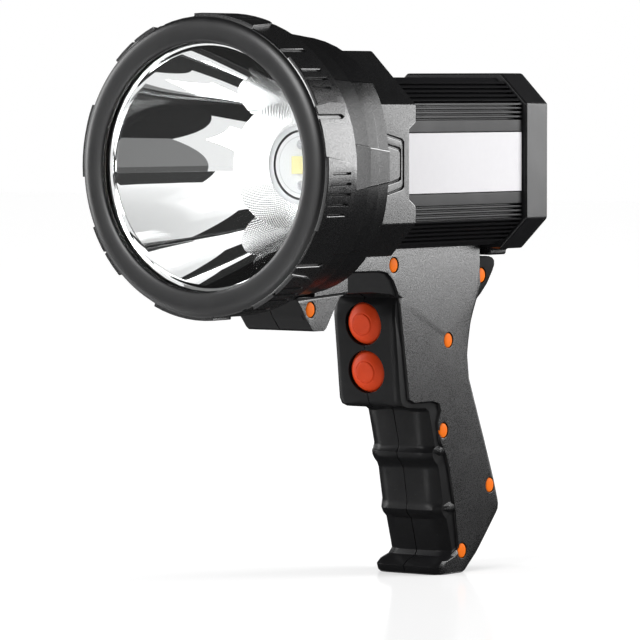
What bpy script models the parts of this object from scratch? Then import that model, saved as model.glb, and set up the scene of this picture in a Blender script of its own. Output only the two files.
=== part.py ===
"""A handheld searchlight with a pistol grip, built in metres with +Z up and the beam towards -Y.

Stations along the lamp are distances behind the plane of the bumper's front. Places on outlines are
written as shares of one length. Most skilful feature: the finned body's section, whose level plates
all end on one chamfered-square outline and are worked out from one pitch.
"""

import math

import bmesh
import bpy
from mathutils import Matrix, Vector

for old in list(bpy.data.objects):
    bpy.data.objects.remove(old)

# Driving dimensions, in metres
AXIS_HEIGHT = 0.1785
BACKSET = 0.161
GAP = 0.0003
HALF = 0.5
EPS = 0.00002

BEZEL_R = 0.0617
BEZEL_WALL = 0.0039
BEZEL_BORE = BEZEL_R - BEZEL_WALL
BEZEL_START = 0.0016
BEZEL_LIP = 0.001
BEZEL_END = 0.024
PAD_RISE = 0.0012
PAD_R = BEZEL_R + PAD_RISE
PAD_LENGTH = 0.0186
PAD_SUNK = 0.0012
SLOT_LENGTH = 0.0152
SLOT_WIDTH = 0.0009
SLOT_DEPTH = 0.0012
RIB_LENGTH = 0.0178
RIB_WIDTH = 0.0018
RIB_DEPTH = 0.0009
PAD_SLOT_STEP_DEG = 3.9
LARGE_PAD_FIRST_DEG = -9.8
SMALL_PAD_FIRST_DEG = 35.0
QUARTER_DEG = 90.0
RIB_OFFSET_DEG = 15.3
LARGE_PAD_HALF_DEG = 14.1
LARGE_PAD_REAR_DEG = 11.4
SMALL_PAD_HALF_DEG = 11.0
SMALL_PAD_REAR_DEG = 8.6
PAD_CORNER_SHARE = 0.22
LARGE_PAD_SLOTS = 5
SMALL_PAD_SLOTS = 3

BUMPER_STEP = 0.0005
BUMPER_WIDE = 0.0102
BUMPER_R = BEZEL_R - BUMPER_STEP
BUMPER_BORE = BUMPER_R - BUMPER_WIDE
BUMPER_CREST = 0.0006
BUMPER_DEPTH = 0.0013
BUMPER_ROUND = 0.0013

LENS_THICK = 0.0016
STACK_SLACK = 0.0004
STACK_R = BEZEL_BORE - STACK_SLACK
GASKET_THICK = 0.0004
GASKET_LAP = 0.0002
GASKET_BORE = BUMPER_BORE - GASKET_LAP
RIM_LAP = 0.0008
RIM_R = BUMPER_BORE - RIM_LAP
FLANGE_THICK = 0.0018
BOWL_WALL = 0.0016
BOWL_VERTEX = 0.0789
BOWL_DEPTH = 0.0735
BOWL_SEAT_SHARE = 0.3347
BOWL_SEAT_R = RIM_R * BOWL_SEAT_SHARE
BOWL_STEPS = 7

BOARD_LAP = 0.0011
BOARD_THICK = 0.0015
CHIP_SIDE = 0.0074
CHIP_THICK = 0.0018
CHIP_RISE = 0.0006
CHIP_INNER = 0.0056
LED_SCREW_OUT = 0.0086
LED_SCREW_R = 0.0011
LED_SCREW_HEAD_R = 0.0021
LED_SCREW_HEAD = 0.0012
LED_SCREW_LENGTH = 0.005
SPREADER_THICK = 0.003

HEAD_END = 0.0558
HEAD_WALL = 0.0028
HEAD_BACK = 0.0045
SPIGOT_R = STACK_R
SPIGOT_WALL = 0.0038
SPIGOT_BORE = SPIGOT_R - SPIGOT_WALL
SECTOR_RAISE = 0.0005
SECTOR_HALF_DEG = 36.6
SECTOR_EDGE_DEG = 0.35
SIDE_PAD_RAISE = 0.0008
SIDE_PAD_FRONT = 0.0098
SIDE_PAD_REAR = 0.0066
SIDE_PAD_SUNK = 0.004
BAND_STATION_SHARES = (0.0, 0.4805, 0.4865, 0.737, 0.743, 1.0)
BAND_REACH_SHARES = (1.0, 0.949, 0.9407, 0.9356, 0.9271, 0.9203)
BAND_POWER = (2.1, 2.3, 2.3, 2.4, 2.4, 2.44)
HEAD_STEP = 0.0027
HEAD_REACH = BEZEL_R - HEAD_STEP
HEAD_TURN = 60

CELL_R = 0.0092
CELL_LENGTH = 0.065
CELL_START = 0.1105
CELL_CAP = 0.001
CELL_CAP_R = 0.0045
CELL_SLACK = 0.0004
CELL_WEB = 0.0021
CELL_PITCH = CELL_R + CELL_R + CELL_WEB
HOLDER_BORE = CELL_R + CELL_SLACK
HOLDER_WALL = 0.00265
HOLDER_HALF = CELL_PITCH * HALF + HOLDER_BORE + HOLDER_WALL
HOLDER_SLACK = 0.0005
CAVITY_HALF = HOLDER_HALF + HOLDER_SLACK
CELL_SPARE = 0.0089

BODY_RISE = 0.0005
BODY_START = 0.079
BODY_END = CELL_START + CELL_LENGTH + CELL_SPARE
BODY_WALL = 0.0133
BODY_HALF = CAVITY_HALF + BODY_WALL
BODY_FLAT_SHARE = 0.694
BODY_FLAT = BODY_HALF * BODY_FLAT_SHARE
STRIP_SHARE = 0.4986
STRIP_HALF = BODY_HALF * STRIP_SHARE
PANEL_SHARE = 0.361
PANEL_HALF = BODY_HALF * PANEL_SHARE
PANEL_DEEP = 0.0048
FIN_COUNT = 9
FIN_TOP = 0.00164
FIN_PITCH = (BODY_HALF - STRIP_HALF - FIN_TOP) / FIN_COUNT
FIN_SHARE = 0.511
FIN_THICK = FIN_PITCH * FIN_SHARE
FIN_DEEP = 0.0027

COLLAR_START = HEAD_END + GAP
COLLAR_END = 0.0894
HEAD_HOLE_SHARE = 0.7271
HEAD_HOLE_R = RIM_R * HEAD_HOLE_SHARE
COLLAR_BORE = HEAD_HOLE_R - GAP
COLLAR_WALL = 0.0094
COLLAR_HALF = COLLAR_BORE + COLLAR_WALL
COLLAR_FLAT_SHARE = 0.546
COLLAR_FLAT = COLLAR_HALF * COLLAR_FLAT_SHARE
COLLAR_TOP_RISE = 0.0017
COLLAR_TOP = COLLAR_HALF + COLLAR_TOP_RISE
COLLAR_LOW_RISE = 0.0024
COLLAR_BOTTOM = COLLAR_BORE + COLLAR_LOW_RISE
COLLAR_LOW_OUT = 0.0013
COLLAR_EDGE = 0.0007
POCKET_START = BODY_START - GAP
SPREADER_SLACK = 0.0024
SPREADER_R = COLLAR_BORE - SPREADER_SLACK
NOTCH_DEEP = 0.0053
NOTCH_HALF = 0.018
NOTCH_INNER = 0.0148
GROOVE_WIDE = 0.0009
GROOVE_DEEP = 0.0007
GROOVE_OUTER_SHARES = ((0.0, 0.98), (0.86, 0.74), (0.92, 0.67), (0.92, -0.67), (0.86, -0.74), (0.0, -0.98))
GROOVE_INNER_SHARES = ((0.0, 0.68), (0.75, 0.49), (0.81, 0.43), (0.81, -0.43), (0.75, -0.49), (0.0, -0.68))
GROOVE_START = 0.062
GROOVE_RUN = 0.0198
GROOVE_TALL = 0.0142

DIFFUSER_THICK = 0.0034
SIDE_BOARD_THICK = 0.0008
DRIVER_START = 0.0985
DRIVER_THICK = 0.0016
COIL_R = 0.0058
COIL_TALL = 0.0045
CHIP_BLOCK = 0.006
CHIP_TALL = 0.0018

CAP_SLACK = 0.0004
CAP_LONG = 0.0172
CAP_START = BODY_END + CAP_SLACK
CAP_END = CAP_START + CAP_LONG
CAP_RISE = 0.002
CAP_HALF = BODY_HALF + CAP_RISE
CAP_FLAT_SHARE = 0.6527
CAP_FLAT = CAP_HALF * CAP_FLAT_SHARE
CAP_EDGE = 0.0009
CAP_POCKET_WALL = 0.0035
CAP_POCKET_HALF = CAVITY_HALF - CAP_POCKET_WALL
CAP_FLOOR = 0.0065
CAP_POCKET_END = CAP_END - CAP_FLOOR
CAP_TAB_HALF = 0.0179
CAP_TAB_SHORT = 0.0017
CAP_TAB_SET = 0.0022
CAP_TAB_START = CAP_START + CAP_TAB_SET
CAP_TAB_END = CAP_END - CAP_TAB_SHORT
CAP_TAB_RISE = 0.0024
CAP_TAB_BOTTOM = CAP_HALF + CAP_TAB_RISE
CAP_SCREW_IN = 0.0032
CAP_SCREW_OUT = CAVITY_HALF + CAP_SCREW_IN
CAP_SCREW_R = 0.0015
CAP_SCREW_HEAD_R = 0.0028
CAP_SCREW_HEAD = 0.002
CAP_SCREW_LENGTH = 0.022
CAP_SCREW_SUNK = 0.0032

PORT_WIDE = 0.0172
PORT_TALL = 0.0118
PORT_DEEP = 0.0026
PIN_R = 0.0011
PIN_SUNK = 0.0014
JACK_WIDE = 0.009
JACK_TALL = 0.0068
JACK_LONG = 0.0078
JACK_HOLE_R = 0.0024
JACK_PIN_R = 0.0007

GRIP_HALF = 0.017
GRIP_SPLIT = 0.00015
SPLIT_OVER = 0.001
GRIP_DEPTH = 0.1
GRIP_SLACK = 0.0004
GRIP_START = COLLAR_END + GRIP_SLACK
GRIP_TOP_GAP = 0.0003
SHELL_WALL = 0.0028
GRIP_CAVITY_HALF = GRIP_HALF - SHELL_WALL
HOLLOW_CORNER = 0.003
FAR = 0.3
CORNER_STEPS = 3
# height share of the grip, front share, back share, front corner share, back corner share
GRIP_LEVEL_SHARES = (
    (1.000, 0.000, 0.912, 0.020, 0.010), (0.916, 0.000, 0.912, 0.020, 0.010),
    (0.881, 0.000, 0.918, 0.020, 0.012), (0.872, 0.102, 0.919, 0.020, 0.016),
    (0.864, 0.232, 0.921, 0.020, 0.022), (0.853, 0.272, 0.919, 0.040, 0.030),
    (0.832, 0.258, 0.906, 0.040, 0.040), (0.797, 0.254, 0.881, 0.040, 0.040),
    (0.762, 0.260, 0.860, 0.040, 0.040), (0.699, 0.271, 0.841, 0.040, 0.040),
    (0.664, 0.277, 0.835, 0.040, 0.040), (0.593, 0.288, 0.849, 0.040, 0.040),
    (0.544, 0.297, 0.880, 0.040, 0.040), (0.527, 0.310, 0.890, 0.045, 0.040),
    (0.519, 0.332, 0.895, 0.060, 0.040), (0.515, 0.402, 0.898, 0.060, 0.040),
    (0.512, 0.474, 0.900, 0.060, 0.040), (0.502, 0.487, 0.906, 0.080, 0.040),
    (0.446, 0.511, 0.941, 0.080, 0.040), (0.399, 0.530, 0.971, 0.080, 0.040),
    (0.387, 0.526, 0.978, 0.080, 0.040), (0.375, 0.513, 0.985, 0.080, 0.040),
    (0.362, 0.517, 0.993, 0.080, 0.040), (0.350, 0.530, 1.000, 0.080, 0.040),
    (0.337, 0.552, 1.008, 0.080, 0.040), (0.322, 0.564, 1.017, 0.080, 0.040),
    (0.277, 0.577, 1.043, 0.080, 0.040), (0.224, 0.593, 1.070, 0.080, 0.040),
    (0.210, 0.588, 1.077, 0.080, 0.040), (0.197, 0.585, 1.081, 0.080, 0.040),
    (0.182, 0.598, 1.078, 0.080, 0.040), (0.168, 0.624, 1.062, 0.080, 0.040),
    (0.116, 0.647, 0.992, 0.080, 0.040), (0.069, 0.667, 0.927, 0.080, 0.040),
    (0.053, 0.657, 0.903, 0.060, 0.040), (0.040, 0.592, 0.879, 0.060, 0.040),
    (0.026, 0.564, 0.853, 0.060, 0.040), (0.007, 0.576, 0.820, 0.060, 0.040),
    (0.000, 0.592, 0.797, 0.060, 0.040),
)
# height share, front share, back share of the hollow inside
HOLLOW_LEVEL_SHARES = (
    (0.955, 0.035, 0.875), (0.905, 0.035, 0.880), (0.893, 0.150, 0.885), (0.862, 0.300, 0.885),
    (0.797, 0.292, 0.848), (0.699, 0.309, 0.808), (0.593, 0.326, 0.816), (0.552, 0.345, 0.840),
    (0.538, 0.385, 0.850), (0.531, 0.505, 0.855), (0.490, 0.535, 0.880), (0.399, 0.565, 0.938), (0.362, 0.560, 0.960), (0.300, 0.608, 1.000),
    (0.210, 0.630, 1.042), (0.168, 0.664, 1.026), (0.069, 0.706, 0.890), (0.045, 0.700, 0.850),
    (0.022, 0.690, 0.812),
)
# station and drop as shares: the grip starts at the first share below, its top and base at the others
GRIP_START_SHARE = 0.898
GRIP_TOP_SHARE = 0.361
GRIP_BASE_SHARE = 1.785
FOOT_SHARES = (
    (0.444, 0.500), (0.444, 0.556), (0.455, 0.570), (0.502, 0.632), (0.542, 0.677), (0.560, 0.689),
    (0.632, 0.690), (0.648, 0.681), (0.735, 0.566), (0.752, 0.549), (0.804, 0.541), (1.020, 0.541),
    (1.020, 0.386), (0.565, 0.386),
)
TANG_SHARES = (
    (1.740, 0.412), (1.900, 0.412), (1.938, 0.418), (1.953, 0.432), (1.953, 0.454), (1.938, 0.480),
    (1.887, 0.533), (1.845, 0.578), (1.810, 0.602), (1.740, 0.602),
)
SMOOTH_SHARES = (
    (0.760, 0.560), (0.804, 0.545), (0.804, 0.449), (1.040, 0.452), (1.095, 0.462), (1.140, 0.495),
    (1.172, 0.545), (1.192, 0.600), (1.227, 0.800), (1.262, 1.010), (1.300, 1.026), (1.440, 1.026),
    (1.490, 1.040), (1.502, 1.070), (1.484, 1.120), (1.496, 1.200), (1.540, 1.260), (1.568, 1.320),
    (1.590, 1.400), (1.612, 1.500), (1.630, 1.600), (1.640, 1.675), (1.587, 1.708), (1.437, 1.734),
    (1.300, 1.745), (1.300, 1.100), (1.060, 1.060), (1.060, 0.560),
)
FOOT_BEVEL = 0.0012
FOOT_HALF_SHARE = 0.994
FOOT_HALF = GRIP_HALF * FOOT_HALF_SHARE
TANG_HALF_SHARE = 0.894
TANG_HALF = GRIP_HALF * TANG_HALF_SHARE
SMOOTH_DEEP = 0.0011
SMOOTH_ROUND = 0.0025
SMOOTH_OUT = 0.0042
HEAD_CLEAR_SHARE = 0.966
HEAD_CLEAR_R = HEAD_REACH * HEAD_CLEAR_SHARE
LINE_DEEP = 0.0008
LINE_SHARES = ((0.430, 0.550), (0.430, 0.559), (0.815, 0.5415), (0.815, 0.5325))
# middle height share, front share and back share of the finger ridges carried round onto the sides
RIDGE_SHARES = ((0.3805, 0.530, 0.700), (0.2035, 0.602, 0.770))
RIDGE_FOOT = 0.0026
RIDGE_CREST = 0.0009
RIDGE_SUNK = 0.0002
RIDGE_CORNER = 0.007

BUTTON_SHARES = ((1.1562, 0.687), (1.1806, 0.8923))
BUTTON_STEP_SHARE = 0.42
FLANGE_STEP_SHARE = 0.478
BUTTON_WELL_GAP = 0.0006
BUTTON_SUNK = 0.0013
BUTTON_DOME = 0.0032
BUTTON_DOT_SHARE = 0.53
DOME_STEPS = 3
BUTTON_DOT = 0.0002
BUTTON_WALL = 0.0028
BUTTON_WELL_DEEP = 0.0084
BUTTON_FLANGE = 0.001
BUTTON_STEM_R = 0.0018
BUTTON_STEM = 0.0015
BUTTON_TRAVEL = 0.0015
SWITCH_HALF = 0.003
SWITCH_TALL = 0.0034
SWITCH_PIN_R = 0.0016
SWITCH_PIN = 0.001
SWITCH_BOARD_TALL = 0.040
SWITCH_BOARD_THICK = 0.0012

PLUG_R = 0.0032
PLUG_HOLE_R = 0.0035
PLUG_DEEP = 0.0029
PLUG_THICK = 0.0024
PLUG_DOME = 0.0003
BOSS_R = 0.0052
NUT_BOSS_R = 0.0034
SHELL_HEAD_HOLE_R = 0.0024
SHELL_HEAD_R = 0.002
SHELL_HEAD = 0.0016
SHELL_HEAD_SEAT = 0.008
SHELL_SHANK_R = 0.001
SHELL_SHANK_HOLE_R = 0.0013
SHELL_SHANK = 0.0165
SHELL_SHANK_HOLE = 0.010
# station, drop and share of the grip's half width at each of the seven screws
SCREW_SHARES = (
    (0.537, 0.598, FOOT_HALF_SHARE), (1.144, 0.430, 1.0), (1.845, 0.495, TANG_HALF_SHARE),
    (1.560, 0.768, 1.0), (1.524, 1.157, 1.0), (1.888, 1.418, 1.0), (1.669, 1.690, 1.0),
)

part = bpy.data.collections.new("handheld_searchlight")
cutters = bpy.data.collections.new("cutters")
bpy.context.scene.collection.children.link(part)
bpy.context.scene.collection.children.link(cutters)


def at(x, station, drop=0.0):
    """World place of a point: across, station behind the bumper front, drop below the optical axis."""
    return Vector((x, station - BACKSET, AXIS_HEIGHT - drop))


def material(name, colour, rough, metal=0.0, clear=0.0):
    m = bpy.data.materials.get(name) or bpy.data.materials.new(name)
    m.use_nodes = True
    shader = m.node_tree.nodes["Principled BSDF"]
    shader.inputs["Base Color"].default_value = (*colour, 1.0)
    shader.inputs["Roughness"].default_value = rough
    shader.inputs["Metallic"].default_value = metal
    shader.inputs["Transmission Weight"].default_value = clear
    m.diffuse_color = (*colour, 1.0)
    return m


RUBBER = ((0.02, 0.02, 0.021), 0.6)
PLASTIC = ((0.05, 0.05, 0.053), 0.5)
BLACK_METAL = ((0.03, 0.03, 0.032), 0.35, 1.0)
MIRROR = ((0.9, 0.9, 0.92), 0.05, 1.0)
GLASS = ((1.0, 1.0, 1.0), 0.02, 0.0, 1.0)
WHITE = ((0.9, 0.9, 0.92), 0.4)
YELLOW = ((0.95, 0.85, 0.3), 0.4)
STEEL = ((0.6, 0.6, 0.62), 0.3, 1.0)
ALUMINIUM = ((0.75, 0.75, 0.77), 0.35, 1.0)
GREEN = ((0.03, 0.2, 0.08), 0.5)
BLUE = ((0.05, 0.15, 0.5), 0.4)
ORANGE = ((1.0, 0.35, 0.03), 0.45)
RED_ORANGE = ((0.8, 0.09, 0.01), 0.45)


def place(name, bm, look=None):
    """Makes an object of a finished bmesh in the part, or a wire cutter when it has no look."""
    bmesh.ops.recalc_face_normals(bm, faces=bm.faces)
    mesh = bpy.data.meshes.new(name)
    bm.to_mesh(mesh)
    bm.free()
    ob = bpy.data.objects.new(name, mesh)
    return adopt(ob, name, look)


def adopt(ob, name, look):
    for home in list(ob.users_collection):
        home.objects.unlink(ob)
    ob.name = name
    if look is None:
        cutters.objects.link(ob)
        ob.hide_render = True
        ob.display_type = "WIRE"
    else:
        part.objects.link(ob)
        ob.data.materials.clear()
        ob.data.materials.append(material(name, *look))
    return ob


def turned(name, profile, look=None, steps=72, centre=None, tilt=0.0):
    """Turns a closed outline of (radius, height) about an axis that points out along -Y."""
    mesh = bpy.data.meshes.new(name)
    points = [Vector((r, 0.0, h)) for r, h in profile]
    mesh.from_pydata(points, [(i, (i + 1) % len(points)) for i in range(len(points))], [])
    ob = bpy.data.objects.new(name, mesh)
    spin(ob, steps)
    stand(ob, centre, tilt)
    return adopt(ob, name, look)


def solid_turned(name, profile, look=None, steps=48, centre=None, tilt=0.0):
    """Turns an open outline whose two ends lie on the axis."""
    mesh = bpy.data.meshes.new(name)
    points = [Vector((r, 0.0, h)) for r, h in profile]
    mesh.from_pydata(points, [(i, i + 1) for i in range(len(points) - 1)], [])
    ob = bpy.data.objects.new(name, mesh)
    spin(ob, steps)
    stand(ob, centre, tilt)
    return adopt(ob, name, look)


def spin(ob, steps):
    screw = ob.modifiers.new("turn", "SCREW")
    screw.axis = "Z"
    screw.steps = steps
    screw.render_steps = steps
    screw.use_merge_vertices = True
    screw.merge_threshold = EPS * HALF
    screw.use_normal_calculate = False


def stand(ob, centre, tilt):
    ob.rotation_euler = (math.radians(QUARTER_DEG) - tilt, 0.0, 0.0)
    ob.location = at(0.0, 0.0) if centre is None else centre


def across(name, radius, start, end, station, drop, look=None, steps=32):
    """A round bar along X from start to end."""
    bpy.ops.mesh.primitive_cylinder_add(vertices=steps, radius=radius, depth=abs(end - start))
    ob = bpy.context.object
    ob.data.transform(Matrix.Rotation(math.radians(QUARTER_DEG), 4, "Y"))
    ob.location = at((start + end) * HALF, station, drop)
    return adopt(ob, name, look)


def along(name, radius, start, end, x, drop, look=None, steps=64):
    """A round bar along the lamp from one station to another."""
    bpy.ops.mesh.primitive_cylinder_add(vertices=steps, radius=radius, depth=abs(end - start))
    ob = bpy.context.object
    ob.data.transform(Matrix.Rotation(math.radians(QUARTER_DEG), 4, "X"))
    ob.location = at(x, (start + end) * HALF, drop)
    return adopt(ob, name, look)


def block(name, low, high, look=None):
    """A box between two corners."""
    bpy.ops.mesh.primitive_cube_add(size=1.0)
    ob = bpy.context.object
    spread = high - low
    sizes = Matrix.Diagonal((abs(spread.x), abs(spread.y), abs(spread.z), 1.0))
    ob.data.transform(Matrix.Translation((low + high) * HALF) @ sizes)
    return adopt(ob, name, look)


def box(name, x0, x1, s0, s1, d0, d1, look=None):
    return block(name, at(x0, s0, d0), at(x1, s1, d1), look)


def shape(ob, how, other, label):
    """Cuts, joins or keeps with another object through a live Boolean."""
    step = ob.modifiers.new(label, "BOOLEAN")
    step.operation = how
    step.solver = "EXACT"
    step.object = other
    return step


def cut(ob, other, label="cut"):
    return shape(ob, "DIFFERENCE", other, label)


def join(ob, other, label="join"):
    return shape(ob, "UNION", other, label)


def soften(ob, width, segments=2, angle=40.0):
    bevel = ob.modifiers.new("edges", "BEVEL")
    bevel.width = width
    bevel.segments = segments
    bevel.limit_method = "ANGLE"
    bevel.angle_limit = math.radians(angle)
    bevel.harden_normals = False
    return bevel


def stretch(outline, start, end, to_world):
    """A closed prism of a flat outline between two depths."""
    bm = bmesh.new()
    first = [bm.verts.new(to_world(p, start)) for p in outline]
    last = [bm.verts.new(to_world(p, end)) for p in outline]
    bm.faces.new(first)
    bm.faces.new(list(reversed(last)))
    count = len(outline)
    for i in range(count):
        j = (i + 1) % count
        bm.faces.new((first[i], last[i], last[j], first[j]))
    return bm


def gather(meshes):
    """Puts several bmesh solids into one."""
    whole = bmesh.new()
    for bm in meshes:
        spare = bpy.data.meshes.new("spare")
        bm.to_mesh(spare)
        bm.free()
        whole.from_mesh(spare)
        bpy.data.meshes.remove(spare)
    return whole


def wrapped(outline, inner, outer, angle, step):
    """Wraps a flat outline of (arc, station) round the optical axis between two radii."""
    bm = stretch(outline, 0.0, 1.0, lambda p, w: Vector((p[0], p[1], w)))
    low = min(p[0] for p in outline)
    high = max(p[0] for p in outline)
    cuts = max(1, int((high - low) / step))
    for k in range(1, cuts):
        plane = Vector((low + (high - low) * k / cuts, 0.0, 0.0))
        geometry = bm.verts[:] + bm.edges[:] + bm.faces[:]
        bmesh.ops.bisect_plane(bm, geom=geometry, plane_co=plane, plane_no=(1.0, 0.0, 0.0), dist=EPS * EPS)
    for v in bm.verts:
        turn = angle + v.co.x
        r = inner + (outer - inner) * v.co.z
        v.co = at(r * math.cos(turn), v.co.y, -r * math.sin(turn))
    return bm


# Head: everything turned about the optical axis

def front_bumper():
    mid = (BUMPER_R + BUMPER_BORE) * HALF
    r = BUMPER_ROUND
    return turned("front_bumper", [
        (BUMPER_BORE, -BUMPER_DEPTH), (BUMPER_BORE, -r * HALF), (BUMPER_BORE + r * HALF, 0.0),
        (mid, BUMPER_CREST * HALF), (BUMPER_R - r - r * HALF, BUMPER_CREST),
        (BUMPER_R - r * HALF, BUMPER_CREST * HALF * HALF), (BUMPER_R, -r * HALF * HALF),
        (BUMPER_R, -BUMPER_DEPTH),
    ], RUBBER, 60)


def pad_outline(front, rear, start, length):
    """Trapezoid with clipped rear corners, as arcs in radians and stations."""
    corner = length * PAD_CORNER_SHARE
    side = front - rear
    knee = rear + side * PAD_CORNER_SHARE
    slack = rear * PAD_CORNER_SHARE
    end = start + length
    return [
        (-front, start), (-knee, end - corner), (-rear + slack * HALF * HALF, end - corner * HALF * HALF),
        (-rear + slack, end), (rear - slack, end),
        (rear - slack * HALF * HALF, end - corner * HALF * HALF), (knee, end - corner), (front, start),
    ]


def bezel_ring():
    start, end = BEZEL_START, BEZEL_END
    lip = start + BEZEL_LIP
    ring = turned("bezel_ring", [
        (BEZEL_R - GAP - GAP, -start), (BEZEL_R, -start - GAP - GAP), (BEZEL_R, -end + GAP + GAP),
        (BEZEL_R - GAP - GAP, -end), (BEZEL_BORE, -end), (BEZEL_BORE, -lip),
        (BUMPER_BORE, -lip), (BUMPER_BORE, -start),
    ], PLASTIC, 72)
    pads, slots = [], []
    step = math.radians(PAD_SLOT_STEP_DEG)
    for k in range(4):
        for first, front, rear, count, length in (
            (LARGE_PAD_FIRST_DEG, LARGE_PAD_HALF_DEG, LARGE_PAD_REAR_DEG, LARGE_PAD_SLOTS, PAD_LENGTH),
            (SMALL_PAD_FIRST_DEG, SMALL_PAD_HALF_DEG, SMALL_PAD_REAR_DEG, SMALL_PAD_SLOTS,
             PAD_LENGTH - RIB_WIDTH),
        ):
            middle = math.radians(first + QUARTER_DEG * k)
            outline = pad_outline(math.radians(front), math.radians(rear), start + GAP, length)
            pads.append(wrapped(outline, BEZEL_R - PAD_SUNK, PAD_R, middle, step))
            half = SLOT_WIDTH * HALF / PAD_R
            for i in range(count):
                place_at = (i - (count - 1) * HALF) * step
                close = abs(i - (count - 1) * HALF) / count
                back = start + length - SLOT_WIDTH - SLOT_WIDTH - (PAD_SUNK + PAD_SUNK) * close
                front_end = back - SLOT_LENGTH * (1.0 - close * HALF)
                slots.append(wrapped(
                    [(place_at - half, front_end), (place_at - half, back),
                     (place_at + half, back), (place_at + half, front_end)],
                    PAD_R - SLOT_DEPTH, PAD_R + SLOT_DEPTH, middle, step))
        for side in (-1.0, 1.0):
            turn = math.radians(SMALL_PAD_FIRST_DEG + side * RIB_OFFSET_DEG + QUARTER_DEG * k)
            half = RIB_WIDTH * HALF / BEZEL_R
            slots.append(wrapped(
                [(-half, start + GAP), (-half, start + RIB_LENGTH - RIB_WIDTH), (0.0, start + RIB_LENGTH),
                 (half, start + RIB_LENGTH - RIB_WIDTH), (half, start + GAP)],
                BEZEL_R - RIB_DEPTH, PAD_R + SLOT_DEPTH, turn, step))
    join(ring, place("bezel_pads", gather(pads)))
    cut(ring, place("bezel_slots", gather(slots)))
    return ring


def lens():
    start = BEZEL_START + BEZEL_LIP + GAP
    return solid_turned("lens", [
        (0.0, -start), (STACK_R - GAP, -start), (STACK_R, -start - GAP), (STACK_R, -start - LENS_THICK),
        (0.0, -start - LENS_THICK),
    ], GLASS, 48)


def lens_gasket():
    start = BEZEL_START + BEZEL_LIP + GAP + LENS_THICK + GAP
    return turned("lens_gasket", [
        (STACK_R, -start), (STACK_R, -start - GASKET_THICK),
        (GASKET_BORE, -start - GASKET_THICK), (GASKET_BORE, -start),
    ], RUBBER, 44)


def flange_start():
    return BEZEL_START + BEZEL_LIP + GAP + LENS_THICK + GAP + GASKET_THICK + GAP


def bowl_station(radius):
    """Station of the mirror bowl at a radius, along one parabola from the rim."""
    return BOWL_VERTEX - BOWL_DEPTH * (radius / RIM_R) ** 2


def reflector():
    start = flange_start()
    back = start + FLANGE_THICK
    inner, outer = [], []
    for k in range(BOWL_STEPS + 1):
        r = RIM_R + (BOWL_SEAT_R - RIM_R) * k / BOWL_STEPS
        s = max(bowl_station(r), start)
        slope = math.atan2(r * (BOWL_DEPTH + BOWL_DEPTH), RIM_R * RIM_R)
        inner.append((r, -s))
        outer.append((r + BOWL_WALL * math.sin(slope), -s - BOWL_WALL * math.cos(slope)))
    inner[0] = (RIM_R, -start)
    outside = [p for p in outer if -p[1] > back + EPS and p[0] > BOWL_SEAT_R + BOWL_WALL * HALF]
    lip = bowl_station(BOWL_SEAT_R)
    profile = [(STACK_R, -start), (STACK_R, -back), (outside[0][0] + GAP, -back)] + outside
    profile = [p for p in profile if -p[1] < lip - EPS or p[0] > BOWL_SEAT_R]
    profile = [p for p in profile if -p[1] <= lip + BOWL_WALL * HALF]
    profile += [(BOWL_SEAT_R + BOWL_WALL, -lip - BOWL_WALL * HALF), (BOWL_SEAT_R, -lip - BOWL_WALL * HALF)]
    return turned("reflector", profile + inner[::-1], MIRROR, 40)


def board_station():
    return bowl_station(BOWL_SEAT_R) + BOWL_WALL * HALF + GAP


def led_board():
    start, radius = board_station(), BOWL_SEAT_R + BOARD_LAP
    board = solid_turned("led_board", [
        (0.0, -start), (radius, -start), (radius, -start - BOARD_THICK), (0.0, -start - BOARD_THICK),
    ], WHITE, 40)
    for side in (-1.0, 1.0):
        cut(board, along(f"led_hole_{int(side)}", LED_SCREW_R + GAP, start - GAP, start + BOARD_THICK + GAP,
                         0.0, side * LED_SCREW_OUT, None, 24))
    return board


def led_emitter():
    end = board_station() - GAP
    half = CHIP_SIDE * HALF
    base = box("led_emitter", -half, half, end - CHIP_THICK, end, -half, half, YELLOW)
    inner = CHIP_INNER * HALF
    join(base, box("led_emitter_lens", -inner, inner, end - CHIP_THICK - CHIP_RISE, end - GAP, -inner,
                   inner))
    return base


def led_screws():
    start = board_station()
    made = []
    for name, side in (("led_screw_upper", -1.0), ("led_screw_lower", 1.0)):
        made.append(headed_screw(name, LED_SCREW_R, LED_SCREW_HEAD_R, LED_SCREW_HEAD, LED_SCREW_LENGTH,
                                 at(0.0, start - GAP, side * LED_SCREW_OUT)))
    return made


def headed_screw(name, shank, head, head_tall, length, seat, turn=None):
    """A screw with a square recess whose head's underside is at the seat and whose shank runs back."""
    ob = solid_turned(name, [
        (0.0, head_tall), (head - GAP, head_tall), (head, head_tall - GAP), (head, 0.0), (shank, 0.0),
        (shank, -length), (0.0, -length),
    ], STEEL, 12, seat)
    if turn:
        ob.rotation_euler = turn
    bpy.ops.mesh.primitive_cone_add(vertices=4, radius1=head * HALF * HALF, radius2=head * HALF,
                                    depth=head_tall)
    slot = bpy.context.object
    slot.data.transform(Matrix.Translation((0.0, 0.0, head_tall)))
    slot.location, slot.rotation_euler = ob.location, ob.rotation_euler
    cut(ob, adopt(slot, f"{name}_recess", None))
    return ob


def heat_spreader():
    start = board_station() + BOARD_THICK + GAP
    spreader = solid_turned("heat_spreader", [
        (0.0, -start), (SPREADER_R - GAP, -start), (SPREADER_R, -start - GAP),
        (SPREADER_R, -start - SPREADER_THICK), (0.0, -start - SPREADER_THICK),
    ], ALUMINIUM, 36)
    for side in (-1.0, 1.0):
        cut(spreader, along(f"spreader_hole_{int(side)}", LED_SCREW_R + GAP, start - GAP,
                            start + SPREADER_THICK + GAP, 0.0, side * LED_SCREW_OUT, None, 24))
    return spreader


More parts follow.
